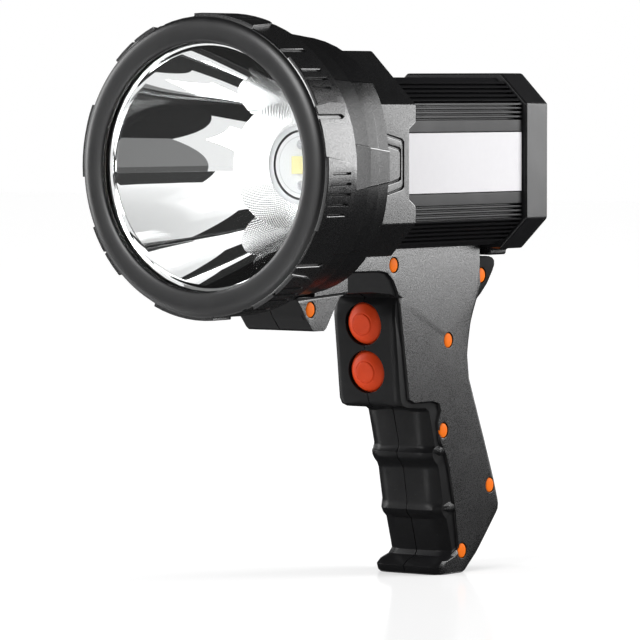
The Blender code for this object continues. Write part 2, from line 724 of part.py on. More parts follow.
def squircle(reach, power, turn):
    """Radius at an angle of a rounded square of the given reach."""
    c, s = abs(math.cos(turn)), abs(math.sin(turn))
    return reach * (c ** power + s ** power) ** (-1.0 / power)


def head_housing():
    """Three stepped bands lofted from nearly round to squarish, with raised side sectors and pads."""
    start = BEZEL_END + GAP
    edge = math.radians(SECTOR_EDGE_DEG)
    wide = math.radians(SECTOR_HALF_DEG)
    turns = [2 * math.pi * k / HEAD_TURN for k in range(HEAD_TURN)]
    for middle in (0.0, math.pi):
        for side in (-wide, wide):
            turns += [(middle + side - edge) % (2 * math.pi), (middle + side + edge) % (2 * math.pi)]
    turns.sort()
    rings = []

    def ring(radius_of, station):
        rings.append([at(radius_of(t) * math.cos(t), station, -radius_of(t) * math.sin(t)) for t in turns])

    spigot_start = flange_start() + FLANGE_THICK + GAP
    ring(lambda t: SPIGOT_BORE, spigot_start)
    ring(lambda t: SPIGOT_R, spigot_start)
    ring(lambda t: SPIGOT_R, start)
    for share, reach, power in zip(BAND_STATION_SHARES, BAND_REACH_SHARES, BAND_POWER):
        def radius_of(t, reach=reach, power=power):
            off = abs((t + math.pi * HALF) % math.pi - math.pi * HALF)
            raise_by = SECTOR_RAISE if off < wide else 0.0
            return squircle(HEAD_REACH * reach, power, t) + raise_by
        ring(radius_of, start + (HEAD_END - start) * share)
    ring(lambda t: HEAD_HOLE_R, HEAD_END)
    ring(lambda t: HEAD_HOLE_R, HEAD_END - HEAD_BACK)
    ring(lambda t: HEAD_REACH * BAND_REACH_SHARES[-2] - HEAD_WALL - HEAD_WALL, HEAD_END - HEAD_BACK)
    ring(lambda t: SPIGOT_BORE, start + HEAD_BACK)
    bm = bmesh.new()
    verts = [[bm.verts.new(p) for p in r] for r in rings]
    count = len(turns)
    for a, b in zip(verts, verts[1:] + verts[:1]):
        for i in range(count):
            j = (i + 1) % count
            bm.faces.new((a[i], a[j], b[j], b[i]))
    head = place("head_housing", bm, PLASTIC)
    pads = []
    for side in (-1.0, 1.0):
        pads.append(side_pad(side, start))
    join(head, place("head_side_pads", gather(pads)))
    return head


def side_pad(side, start):
    """A tapering pad that follows the three bands on one side."""
    bm = bmesh.new()
    rows = []
    deep = HEAD_REACH - SIDE_PAD_SUNK - SIDE_PAD_SUNK
    for share, reach in zip(BAND_STATION_SHARES, BAND_REACH_SHARES):
        tall = SIDE_PAD_FRONT + (SIDE_PAD_REAR - SIDE_PAD_FRONT) * share
        out = HEAD_REACH * reach + SECTOR_RAISE + SIDE_PAD_RAISE
        station = start + GAP + (HEAD_END - start - GAP - GAP) * share
        rows.append([bm.verts.new(at(side * x, station, z))
                     for x, z in ((deep, -tall), (out - GAP, -tall), (out, -tall + GAP),
                                  (out, tall - GAP), (out - GAP, tall), (deep, tall))])
    for a, b in zip(rows, rows[1:]):
        for i in range(len(a)):
            j = (i + 1) % len(a)
            bm.faces.new((a[i], a[j], b[j], b[i]))
    bm.faces.new(list(reversed(rows[0])))
    bm.faces.new(rows[-1])
    return bm


# Body: the chamfered square pieces behind the head

def chamfered_square(half, flat):
    """Outline (x, rise) of a square with big chamfers."""
    points = [(flat, half), (half, flat), (half, -flat), (flat, -half)]
    return points + [(-x, z) for x, z in reversed(points)]


def collar_outline(grow=0.0):
    """A chamfered square that stands higher at the top and is trimmed level at the bottom."""
    half, top, low = COLLAR_HALF + grow, COLLAR_TOP + grow, COLLAR_BOTTOM + grow
    whole = half + COLLAR_FLAT
    points = [(whole - top, top), (half, COLLAR_FLAT), (half, -COLLAR_FLAT),
              (whole - low + COLLAR_LOW_OUT, -low)]
    return points + [(-x, z) for x, z in reversed(points)]


def prism(name, outline, start, end, look=None):
    bm = stretch(outline, start, end, lambda p, s: at(p[0], s, -p[1] - BODY_RISE))
    return place(name, bm, look)


def groove(shares, side):
    """A thin bent groove on a side face, made of the outline and the same outline drawn in."""
    outer = [(GROOVE_START + GROOVE_RUN * a, GROOVE_TALL * b) for a, b in shares]
    w = GROOVE_WIDE
    inner = []
    for i, (s, z) in enumerate(outer):
        inner.append((s - (w if 0 < i < len(shares) - 1 else 0.0), z - math.copysign(w, z)))
    loop = outer + inner[::-1]
    return stretch(loop, COLLAR_HALF - GROOVE_DEEP, COLLAR_HALF + GROOVE_DEEP,
                   lambda p, x: at(side * x, p[0], -p[1] - BODY_RISE))


def collar():
    body = prism("collar", collar_outline(), COLLAR_START, COLLAR_END, PLASTIC)
    soften(body, COLLAR_EDGE)
    cut(body, along("collar_bore", COLLAR_BORE, COLLAR_START - GAP, COLLAR_END, 0.0, 0.0, None, 60))
    half, flat = BODY_HALF + GAP + GAP, BODY_FLAT + GAP
    cut(body, prism("collar_pocket", chamfered_square(half, flat), POCKET_START, COLLAR_END + GAP))
    notches, grooves = [], []
    for side in (-1.0, 1.0):
        outline = [(COLLAR_END + GAP, NOTCH_HALF), (COLLAR_END - NOTCH_DEEP, NOTCH_INNER),
                   (COLLAR_END - NOTCH_DEEP, -NOTCH_INNER), (COLLAR_END + GAP, -NOTCH_HALF)]
        notches.append(stretch(outline, BODY_HALF - FIN_DEEP, COLLAR_HALF + GAP,
                               lambda p, x, side=side: at(side * x, p[0], -p[1] - BODY_RISE)))
        for shares in (GROOVE_OUTER_SHARES, GROOVE_INNER_SHARES):
            grooves.append(groove(shares, side))
    cut(body, place("collar_notches", gather(notches)))
    cut(body, place("collar_grooves", gather(grooves)))
    return body


def fin_section():
    """Right half of the body's section from the top to the bottom: level plates ending on one outline."""
    def skin(z):
        return min(BODY_HALF, BODY_HALF + BODY_FLAT - abs(z))

    upper = [(BODY_FLAT - FIN_DEEP, BODY_HALF)]
    top = STRIP_HALF + FIN_COUNT * FIN_PITCH
    for k in range(FIN_COUNT - 1, -1, -1):
        low = STRIP_HALF + k * FIN_PITCH + (FIN_PITCH - FIN_THICK)
        high = min(low + FIN_THICK, top)
        upper += [(skin(high) - FIN_DEEP, high), (skin(high), high), (skin(low), low),
                  (skin(low) - FIN_DEEP, low)]
    upper = [p for p in upper if p[1] <= BODY_HALF]
    upper += [(skin(STRIP_HALF) - FIN_DEEP, STRIP_HALF), (BODY_HALF, STRIP_HALF), (BODY_HALF, PANEL_HALF),
              (BODY_HALF - PANEL_DEEP, PANEL_HALF)]
    return upper + [(x, -z) for x, z in reversed(upper)]


def heatsink_body():
    right = fin_section()
    outline = right + [(-x, z) for x, z in reversed(right)]
    body = prism("heatsink_body", outline, BODY_START, BODY_END, BLACK_METAL)
    cut(body, box("body_cavity", -CAVITY_HALF, CAVITY_HALF, BODY_START - GAP, BODY_END + GAP,
                  -CAVITY_HALF - BODY_RISE, CAVITY_HALF - BODY_RISE))
    for x, z in screw_corners():
        cut(body, along(f"body_screw_hole_{x > 0}_{z > 0}", CAP_SCREW_R + GAP, BODY_END - CAP_SCREW_LENGTH,
                        BODY_END + GAP, x, -z - BODY_RISE, None, 20))
    return body


def screw_corners():
    return [(sx * CAP_SCREW_OUT, sz * CAP_SCREW_OUT) for sx in (-1.0, 1.0) for sz in (-1.0, 1.0)]


def side_lights():
    made = []
    deep = BODY_HALF - PANEL_DEEP
    half = PANEL_HALF - GAP
    for name, side in (("left", 1.0), ("right", -1.0)):
        inner = deep + GAP
        made.append(box(f"side_board_{name}", side * inner, side * (inner + SIDE_BOARD_THICK),
                        BODY_START + GAP, BODY_END - GAP, -half - BODY_RISE, half - BODY_RISE, WHITE))
        face = inner + SIDE_BOARD_THICK + GAP
        light = box(f"side_diffuser_{name}", side * face, side * (face + DIFFUSER_THICK),
                    BODY_START + GAP, BODY_END - GAP, -half - BODY_RISE, half - BODY_RISE, WHITE)
        soften(light, GAP)
        made.append(light)
    return made


def cell_places():
    p = CELL_PITCH * HALF
    return [("a", -p, p), ("b", p, p), ("c", -p, -p), ("d", p, -p)]


def battery():
    end = CELL_START + CELL_LENGTH
    h = HOLDER_HALF
    holder = box("cell_holder", -h, h, CELL_START, end, -h - BODY_RISE, h - BODY_RISE, PLASTIC)
    made = [holder]
    for name, x, z in cell_places():
        cut(holder, along(f"holder_bore_{name}", HOLDER_BORE, CELL_START - GAP, end + GAP, x, -z - BODY_RISE,
                          None, 24))
        r, c = CELL_R, CELL_CAP_R
        made.append(solid_turned(f"battery_cell_{name}", [
            (0.0, CELL_CAP), (c, CELL_CAP), (c, 0.0), (r, 0.0), (r, -CELL_LENGTH), (0.0, -CELL_LENGTH),
        ], BLUE, 24, at(x, CELL_START, -z - BODY_RISE)))
    return made


def driver_board():
    start = DRIVER_START
    h = CAVITY_HALF - GAP
    board = box("driver_board", -h, h, start, start + DRIVER_THICK, -h - BODY_RISE, h - BODY_RISE, GREEN)
    c = CHIP_BLOCK
    join(board, along("driver_coil", COIL_R, start - COIL_TALL, start + GAP, c, -c, None, 28))
    join(board, box("driver_chip", -c - c, -c, start - CHIP_TALL, start + GAP, -c * HALF, c * HALF))
    join(board, box("driver_part", -c, c * HALF, start - CHIP_TALL, start + GAP, c + c * HALF, c + c))
    return board


def end_cap():
    body = prism("end_cap", chamfered_square(CAP_HALF, CAP_FLAT), CAP_START, CAP_END, BLACK_METAL)
    tab = box("cap_tab", -CAP_TAB_HALF, CAP_TAB_HALF, CAP_TAB_START, CAP_TAB_END,
              CAP_HALF - BODY_RISE - CAP_EDGE - CAP_EDGE, CAP_TAB_BOTTOM)
    join(body, tab)
    soften(body, CAP_EDGE)
    h = CAP_POCKET_HALF
    cut(body, box("cap_pocket", -h, h, CAP_START - GAP, CAP_POCKET_END, -h - BODY_RISE, h - BODY_RISE))
    half = PORT_WIDE * HALF
    top, low = port_top(), port_top() + PORT_TALL
    cut(body, box("port_recess", -half, half, CAP_END - PORT_DEEP, CAP_END + GAP, top, low))
    cut(body, across("port_groove", PIN_R + GAP, -half, half, CAP_END - PIN_SUNK, top, None, 24))
    cut(body, box("port_mouth", -half, half, CAP_END - PIN_SUNK, CAP_END + GAP, top - PIN_R - GAP, low))
    j, t = JACK_WIDE * HALF + GAP, JACK_TALL * HALF + GAP
    cut(body, box("jack_hole", -j, j, CAP_POCKET_END - GAP, CAP_END - PORT_DEEP + GAP, jack_drop() - t,
                  jack_drop() + t))
    for k, (x, z) in enumerate(screw_corners()):
        drop = -z - BODY_RISE
        cut(body, along(f"cap_hole_{k}", CAP_SCREW_R + GAP, CAP_START - GAP, CAP_END, x, drop, None, 20))
        cut(body, along(f"cap_sink_{k}", CAP_SCREW_HEAD_R + GAP, CAP_END - CAP_SCREW_SUNK, CAP_END + GAP, x,
                        drop, None, 28))
    return body


def end_cap_screws():
    made = []
    turn = (-math.radians(QUARTER_DEG), 0.0, 0.0)
    for k, (x, z) in enumerate(screw_corners()):
        made.append(headed_screw(f"end_cap_screw_{k + 1}", CAP_SCREW_R, CAP_SCREW_HEAD_R, CAP_SCREW_HEAD,
                                 CAP_SCREW_LENGTH, at(x, CAP_END - CAP_SCREW_SUNK + GAP, -z - BODY_RISE),
                                 turn))
    return made


def port_top():
    return -PORT_TALL * HALF - BODY_RISE


def jack_drop():
    return port_top() + PIN_R + (PORT_TALL - PIN_R) * HALF


def port_cover():
    """Rubber flap that swings up about a bead along its top edge."""
    half = PORT_WIDE * HALF - GAP
    axis = at(0.0, CAP_END - PIN_SUNK, port_top())
    bpy.ops.mesh.primitive_cylinder_add(vertices=24, radius=PIN_R, depth=half + half)
    cover = bpy.context.object
    cover.data.transform(Matrix.Rotation(math.radians(QUARTER_DEG), 4, "Y"))
    cover.location = axis
    cover = adopt(cover, "port_cover", RUBBER)
    plate = box("port_plate", -half, half, CAP_END - PORT_DEEP + GAP + GAP, CAP_END - GAP * HALF, port_top(),
                port_top() + PORT_TALL - GAP - GAP)
    soften(plate, GAP)
    join(cover, plate)
    lip = half * HALF
    join(cover, box("port_lip", -lip, lip, CAP_END - GAP - GAP, CAP_END + GAP + GAP,
                    port_top() + PORT_TALL - PIN_R - PIN_R, port_top() + PORT_TALL - GAP - GAP))
    return cover


def charge_socket():
    half, tall = JACK_WIDE * HALF, JACK_TALL * HALF
    end = CAP_END - PORT_DEEP - GAP
    start = end - JACK_LONG
    drop = jack_drop()
    socket = box("charge_socket", -half, half, start, end, drop - tall, drop + tall, PLASTIC)
    cut(socket, along("jack_bore", JACK_HOLE_R, start + JACK_LONG * HALF * HALF, end + GAP, 0.0, drop, None,
                      28))
    join(socket, along("jack_pin", JACK_PIN_R, start + GAP, end - GAP, 0.0, drop, None, 16))
    return socket


# Grip: two moulded halves and what they hold

def grip_top():
    return AXIS_HEIGHT + BODY_RISE - BODY_HALF - GRIP_TOP_GAP


def grip_point(station_share, drop_share):
    """Station and drop of a place on the grip's side view; everything on the grip follows this."""
    level = grip_top() * (GRIP_BASE_SHARE - drop_share) / (GRIP_BASE_SHARE - GRIP_TOP_SHARE)
    return GRIP_START + GRIP_DEPTH * (station_share - GRIP_START_SHARE), AXIS_HEIGHT - level


def grip_prism(shares, side, start, end):
    """A flat outline of the side view made solid between two distances across."""
    return stretch([grip_point(*p) for p in shares], start, end, lambda p, x: at(side * x, p[0], p[1]))


def grip_ring(side, level, half, over):
    """One level of a half grip: a half rounded rectangle."""
    height, front, back, front_corner, back_corner = level
    z = grip_top() * height
    front_y = GRIP_START + GRIP_DEPTH * front - BACKSET
    back_y = GRIP_START + GRIP_DEPTH * back - BACKSET
    rf, rb = GRIP_DEPTH * front_corner, GRIP_DEPTH * back_corner
    points = [(-over, back_y)]
    for k in range(CORNER_STEPS + 1):
        a = math.radians(QUARTER_DEG) * k / CORNER_STEPS
        points.append((half - rb + rb * math.sin(a), back_y - rb + rb * math.cos(a)))
    for k in range(CORNER_STEPS + 1):
        a = math.radians(QUARTER_DEG) * k / CORNER_STEPS
        points.append((half - rf + rf * math.cos(a), front_y + rf - rf * math.sin(a)))
    points.append((-over, front_y))
    return [Vector((side * x, y, z)) for x, y in points]


def loft(rings):
    bm = bmesh.new()
    verts = [[bm.verts.new(p) for p in r] for r in rings]
    for a, b in zip(verts, verts[1:]):
        for i in range(len(a)):
            j = (i + 1) % len(a)
            bm.faces.new((a[i], a[j], b[j], b[i]))
    bm.faces.new(list(reversed(verts[0])))
    bm.faces.new(verts[-1])
    bmesh.ops.triangulate(bm, faces=[f for f in bm.faces if len(f.verts) == 4], quad_method="SHORT_EDGE")
    return bm


def rod(spot, side, sections, steps=20):
    """A turned solid along X through a spot, from (radius, distance out) sections."""
    bm = bmesh.new()
    profile = [(0.0, sections[0][1])] + sections + [(0.0, sections[-1][1])]
    line = [bm.verts.new((side * x, 0.0, r)) for r, x in profile]
    edges = [bm.edges.new(pair) for pair in zip(line, line[1:])]
    bmesh.ops.spin(bm, geom=line + edges, cent=(0.0, 0.0, 0.0), axis=(1.0, 0.0, 0.0), angle=2 * math.pi,
                   steps=steps, use_merge=True)
    bmesh.ops.remove_doubles(bm, verts=bm.verts, dist=EPS * HALF)
    bmesh.ops.recalc_face_normals(bm, faces=bm.faces)
    bmesh.ops.translate(bm, verts=bm.verts, vec=spot)
    return bm


def half_prism(shares, side, half, bevel, over):
    """An outline made solid from past the split to the side face, its outer edges rounded."""
    bm = grip_prism(shares, side, -over, half)
    rim = [e for e in bm.edges if all(abs(abs(v.co.x) - half) < EPS * EPS for v in e.verts)]
    bmesh.ops.bevel(bm, geom=rim, offset=bevel, segments=2, profile=HALF, affect="EDGES",
                    clamp_overlap=True)
    return bm


def ridge(side, middle, front, back, over):
    """A finger ridge carried round the corner and along the lowered side."""
    low, high = RIDGE_FOOT / grip_top(), RIDGE_CREST / grip_top()
    deep = SMOOTH_DEEP + RIDGE_SUNK
    corner = RIDGE_CORNER / GRIP_DEPTH
    rings = []
    for rise, inset in ((-low, deep), (-high, RIDGE_SUNK), (high, RIDGE_SUNK), (low, deep)):
        level = (middle + rise, front + inset / GRIP_DEPTH, back, corner, corner * HALF * HALF)
        rings.append(grip_ring(side, level, GRIP_HALF - inset, over))
    return loft(rings)


def button_face(k):
    """Centre of a button on the block's sloping front."""
    return at(0.0, *grip_point(*BUTTON_SHARES[k]))


def button_step():
    return (button_face(1) - button_face(0)).length


def button_tilt():
    """Lean of the block's front in radians."""
    down = button_face(0) - button_face(1)
    return math.atan2(-down.y, down.z)


def button_radius():
    return button_step() * BUTTON_STEP_SHARE


def flange_radius():
    return button_step() * FLANGE_STEP_SHARE


def grip_shell(name, side, nuts):
    over = SPLIT_OVER
    levels = [grip_ring(side, level, GRIP_HALF, over) for level in GRIP_LEVEL_SHARES]
    shell = place(name, loft(levels), PLASTIC)
    foot = half_prism(FOOT_SHARES, side, FOOT_HALF, FOOT_BEVEL, over + GAP)
    join(shell, place(f"{name}_foot", foot), "foot")
    tang = half_prism(TANG_SHARES, side, TANG_HALF, FOOT_BEVEL, over + GAP)
    join(shell, place(f"{name}_tang", tang), "tang")
    smooth = place(f"{name}_smooth", grip_prism(SMOOTH_SHARES, side, GRIP_HALF - SMOOTH_DEEP,
                                                GRIP_HALF + SMOOTH_OUT))
    soften(smooth, SMOOTH_ROUND, 2, 60.0)
    cut(shell, smooth, "smooth")
    ridges = [ridge(side, middle, front, back, over + GAP) for middle, front, back in RIDGE_SHARES]
    join(shell, place(f"{name}_ridges", gather(ridges)), "ridges")
    line = grip_prism(LINE_SHARES, side, GRIP_HALF - LINE_DEEP, GRIP_HALF + LINE_DEEP)
    cut(shell, place(f"{name}_line", line), "line")
    hollow = []
    for height, front, back in HOLLOW_LEVEL_SHARES:
        corner = HOLLOW_CORNER / GRIP_DEPTH
        hollow.append(grip_ring(side, (height, front, back, corner, corner), GRIP_CAVITY_HALF, over + over))
    cut(shell, place(f"{name}_hollow", loft(hollow)), "hollow")
    posts, holes = [], []
    for station, drop, half in SCREW_SHARES:
        spot = at(0.0, *grip_point(station, drop))
        top = GRIP_HALF * half
        seat = top - PLUG_DEEP
        radius = NUT_BOSS_R if nuts else BOSS_R
        posts.append(rod(spot, side, [(radius, -over - over - over), (radius, top - PLUG_DEEP * HALF)], 12))
        if nuts:
            holes.append(rod(spot, side, [
                (SHELL_SHANK_HOLE_R, -GAP), (SHELL_SHANK_HOLE_R, SHELL_SHANK_HOLE)]))
        else:
            holes.append(rod(spot, side, [
                (SHELL_SHANK_HOLE_R, -GAP), (SHELL_SHANK_HOLE_R, SHELL_HEAD_SEAT),
                (SHELL_HEAD_HOLE_R, SHELL_HEAD_SEAT), (SHELL_HEAD_HOLE_R, seat), (PLUG_HOLE_R, seat),
                (PLUG_HOLE_R, GRIP_HALF + PLUG_DEEP)]))
    join(shell, place(f"{name}_posts", gather(posts)), "posts")
    front = grip_point(*FOOT_SHARES[0])[0] - GAP
    cut(shell, along(f"{name}_head_clear", HEAD_CLEAR_R, front, COLLAR_START + GAP, 0.0, 0.0, None, 60),
        "head_clear")
    cut(shell, prism(f"{name}_collar_clear", collar_outline(GAP), COLLAR_START - GAP, COLLAR_END + GAP),
        "collar_clear")
    cut(shell, box(f"{name}_split", -side * FAR, side * GRIP_SPLIT, 0.0, FAR, -FAR, FAR), "split")
    cut(shell, place(f"{name}_holes", gather(holes)), "holes")
    r, wide = button_radius() + BUTTON_WELL_GAP, flange_radius() + GAP
    wall, deep = BUTTON_WALL, BUTTON_WELL_DEEP
    for k in range(2):
        well = solid_turned(f"{name}_well_{k}", [
            (0.0, wall), (r, wall), (r, -wall), (wide, -wall), (wide, -deep), (0.0, -deep),
        ], None, 36, button_face(k), -button_tilt())
        cut(shell, well, f"well_{k}")
    return shell


def button(name, k):
    """A domed cap sunk in its well, with a flange behind the wall and a stem that meets the switch."""
    r, flange, low, dot = button_radius(), flange_radius(), -BUTTON_WALL - GAP, BUTTON_DOT_SHARE
    crown = BUTTON_DOME * (1.0 - dot * dot) - BUTTON_SUNK + BUTTON_DOT
    profile = [(0.0, crown), (r * dot - BUTTON_DOT, crown)]
    for i in range(DOME_STEPS + 1):
        share = dot + (1.0 - dot) * i / DOME_STEPS
        profile.append((r * share, BUTTON_DOME * (1.0 - share * share) - BUTTON_SUNK))
    profile += [(r, low), (flange, low), (flange, low - BUTTON_FLANGE), (BUTTON_STEM_R, low - BUTTON_FLANGE),
                (BUTTON_STEM_R, low - BUTTON_FLANGE - BUTTON_STEM), (0.0, low - BUTTON_FLANGE - BUTTON_STEM)]
    return solid_turned(name, profile, RED_ORANGE, 32, button_face(k), -button_tilt())


def switch_depth():
    """Depth of a switch plunger's top behind the block's front."""
    return BUTTON_WALL + GAP + BUTTON_FLANGE + BUTTON_STEM + BUTTON_TRAVEL + GAP * HALF


def switches():
    tilt = button_tilt()
    made = []
    top = -switch_depth()
    base = top - SWITCH_PIN
    for k, name in enumerate(("switch_upper", "switch_lower")):
        bpy.ops.mesh.primitive_cube_add(size=1.0)
        ob = bpy.context.object
        h = SWITCH_HALF
        ob.data.transform(Matrix.Translation((0.0, 0.0, base - SWITCH_TALL * HALF)) @ Matrix.Diagonal(
            (h + h, h + h, SWITCH_TALL, 1.0)))
        stand(ob, button_face(k), -tilt)
        ob = adopt(ob, name, STEEL)
        pin = solid_turned(f"{name}_pin", [(0.0, top), (SWITCH_PIN_R, top), (SWITCH_PIN_R, base - GAP),
                                           (0.0, base - GAP)], None, 24, button_face(k), -tilt)
        join(ob, pin)
        made.append(ob)
    bpy.ops.mesh.primitive_cube_add(size=1.0)
    board = bpy.context.object
    deep = base - SWITCH_TALL - GAP - SWITCH_BOARD_THICK * HALF
    w = GRIP_CAVITY_HALF - GAP
    board.data.transform(Matrix.Translation((0.0, 0.0, deep)) @ Matrix.Diagonal(
        (w + w, SWITCH_BOARD_TALL, SWITCH_BOARD_THICK, 1.0)))
    stand(board, (button_face(0) + button_face(1)) * HALF, -tilt)
    made.append(adopt(board, "button_board", GREEN))
    return made


def shell_fixings():
    made = []
    turn = (math.radians(QUARTER_DEG), 0.0, math.radians(QUARTER_DEG))
    for k, (station, drop, half) in enumerate(SCREW_SHARES):
        station, drop = grip_point(station, drop)
        seat = at(SHELL_HEAD_SEAT + GAP, station, drop)
        made.append(headed_screw(f"shell_screw_{k + 1}", SHELL_SHANK_R, SHELL_HEAD_R, SHELL_HEAD,
                                 SHELL_SHANK, seat, turn))
        r, t = PLUG_R, PLUG_THICK
        base = GRIP_HALF * half - PLUG_DEEP + GAP
        plug = solid_turned(f"screw_plug_{k + 1}", [
            (0.0, t + PLUG_DOME), (r - GAP, t), (r, t - GAP), (r, 0.0), (0.0, 0.0),
        ], ORANGE, 16, at(base, station, drop))
        plug.rotation_euler = turn
        made.append(plug)
    return made


front_bumper()
bezel_ring()
lens()
lens_gasket()
reflector()
led_board()
led_emitter()
led_screws()
heat_spreader()
head_housing()
collar()
heatsink_body()
side_lights()
battery()
driver_board()
end_cap()
end_cap_screws()
port_cover()
charge_socket()
grip_shell("grip_shell_left", 1.0, False)
grip_shell("grip_shell_right", -1.0, True)
button("button_upper", 0)
button("button_lower", 1)
switches()
shell_fixings()
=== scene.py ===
# %% [markdown]
# # A handheld searchlight, dressed on its CAD frame
# The CAD model gives every piece its true place and size. This lesson adds what a camera would see:
# rounded edges, moulded grain, a deep mirror, rubber, and the light of a small studio. Each step
# first says what the real piece is, how it could be made, and why it is made this way here.

# %% Load the frame and keep its size
import math

import bmesh
import bpy
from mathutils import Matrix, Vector


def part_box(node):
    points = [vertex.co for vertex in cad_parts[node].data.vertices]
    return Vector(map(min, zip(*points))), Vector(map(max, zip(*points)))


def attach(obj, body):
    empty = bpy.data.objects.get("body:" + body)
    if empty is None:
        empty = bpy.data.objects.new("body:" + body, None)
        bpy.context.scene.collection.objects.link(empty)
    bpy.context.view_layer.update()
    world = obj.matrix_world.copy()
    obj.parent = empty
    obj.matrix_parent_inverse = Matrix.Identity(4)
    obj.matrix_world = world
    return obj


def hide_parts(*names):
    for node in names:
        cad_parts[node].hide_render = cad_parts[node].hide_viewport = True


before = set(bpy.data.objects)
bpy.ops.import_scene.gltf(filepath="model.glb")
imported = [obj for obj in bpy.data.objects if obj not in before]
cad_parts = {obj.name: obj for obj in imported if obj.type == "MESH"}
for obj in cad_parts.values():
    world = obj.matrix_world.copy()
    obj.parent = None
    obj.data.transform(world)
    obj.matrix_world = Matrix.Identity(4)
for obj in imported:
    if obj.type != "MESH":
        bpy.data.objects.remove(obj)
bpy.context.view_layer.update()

# %% [markdown]
# The lamp's own measures are counted backwards from the front of its bumper, along the beam, and
# down from the beam's centre line. Two numbers turn such a measure into a place in the scene, so
# that every later cell can speak of stations and drops, as a drawing of the lamp would.

# %% Places on the lamp
BACKSET = 0.161
AXIS_HEIGHT = 0.1785
ACROSS = Vector((1.0, 0.0, 0.0))
FORWARDS = Vector((0.0, -1.0, 0.0))


def at(x, station, drop=0.0):
    """A place: across, behind the bumper's front, and below the optical axis."""
    return Vector((x, station - BACKSET, AXIS_HEIGHT - drop))


print("optical axis starts at", tuple(round(v, 4) for v in at(0.0, 0.0)))

# %% [markdown]
# ## The camera
# The photograph was taken from about thirty-five degrees round towards the lamp's left side, a
# little above its middle, with a long lens that hardly narrows the far end. A camera could be
# aimed by eye, but here its place was solved from points seen on the lamp, so it is simply stated.

# %% Set the camera
CAMERA_PLACE = (1.16658, -1.71151, 0.20918)
CAMERA_TILT = math.radians(87.2535)
CAMERA_TURN = math.radians(35.517)
SENSOR_MM = 36.0
LENS_MM = 267.57
FAR_CLIP = 20.0

camera_data = bpy.data.cameras.new("studio_camera")
camera = bpy.data.objects.new("studio_camera", camera_data)
bpy.context.scene.collection.objects.link(camera)
camera_data.sensor_width = SENSOR_MM
camera_data.lens = LENS_MM
camera_data.clip_end = FAR_CLIP
camera.location = CAMERA_PLACE
camera.rotation_euler = (CAMERA_TILT, 0.0, CAMERA_TURN)
bpy.context.scene.camera = camera
print("camera at", tuple(round(v, 3) for v in camera.location))

# %% [markdown]
# ## A workbench of small tools
# Operators in Blender act on whatever is selected, so everything is deselected before each step.
# Most of the lamp is turned or moulded. A turned piece is drawn as an outline, one point at a
# time, and spun about its axis. It starts from a tiny plane that is merged to its first point.

# %% Selection and turning helpers
SEED_SIZE = 0.0003
TURNED_WELD = 0.000002
TURNED_SMOOTH = math.radians(35.0)


def fresh():
    """Leaves nothing selected, in object mode."""
    if bpy.context.object and bpy.context.object.mode != "OBJECT":
        bpy.ops.object.mode_set(mode="OBJECT")
    bpy.ops.object.select_all(action="DESELECT")


def only(piece):
    """Leaves one piece selected and active, in object mode."""
    fresh()
    piece.select_set(True)
    bpy.context.view_layer.objects.active = piece


def turned(name, outline, steps, origin=None, axis=FORWARDS, side=ACROSS):
    """Draws an outline of (radius, height along the axis) and spins it into a closed skin."""
    origin = at(0.0, 0.0) if origin is None else origin
    places = [origin + side * r + axis * h for r, h in outline]
    fresh()
    bpy.ops.mesh.primitive_plane_add(size=SEED_SIZE, location=(0.0, 0.0, 0.0))
    piece = bpy.context.object
    piece.name = name
    bpy.ops.object.mode_set(mode="EDIT")
    bpy.ops.mesh.merge(type="CENTER")
    bpy.ops.transform.translate(value=places[0])
    for before, after in zip(places, places[1:]):
        bpy.ops.mesh.extrude_vertices_move(TRANSFORM_OT_translate={"value": after - before})
    bpy.ops.mesh.select_all(action="SELECT")
    bpy.ops.mesh.spin(steps=steps, angle=2 * math.pi, center=origin, axis=axis)
    bpy.ops.mesh.select_all(action="SELECT")
    bpy.ops.mesh.remove_doubles(threshold=TURNED_WELD)
    bpy.ops.mesh.normals_make_consistent(inside=False)
    bpy.ops.object.mode_set(mode="OBJECT")
    bpy.ops.object.shade_smooth_by_angle(angle=TURNED_SMOOTH)
    return piece


def from_mm(pairs):
    """Outline points given as (radius, height) in millimetres, in metres."""
    return [(r / 1000.0, h / 1000.0) for r, h in pairs]


print("turning helpers:", fresh.__name__, only.__name__, turned.__name__, from_mm.__name__)

# %% [markdown]
# A moulded piece already has its true faces in the CAD frame. It could be drawn again, but a copy
# can't drift from the real size, so a copy is merged into one skin and its edges are rounded. The
# rounded faces get a slot of their own, because an edge may wear another finish than its faces.

# %% Refining helpers
CAD_WELD = 0.000004
FLAT_WITHIN = math.radians(0.1)
ROUND_OVER = math.radians(35.0)
EDGE_SLOT = 1


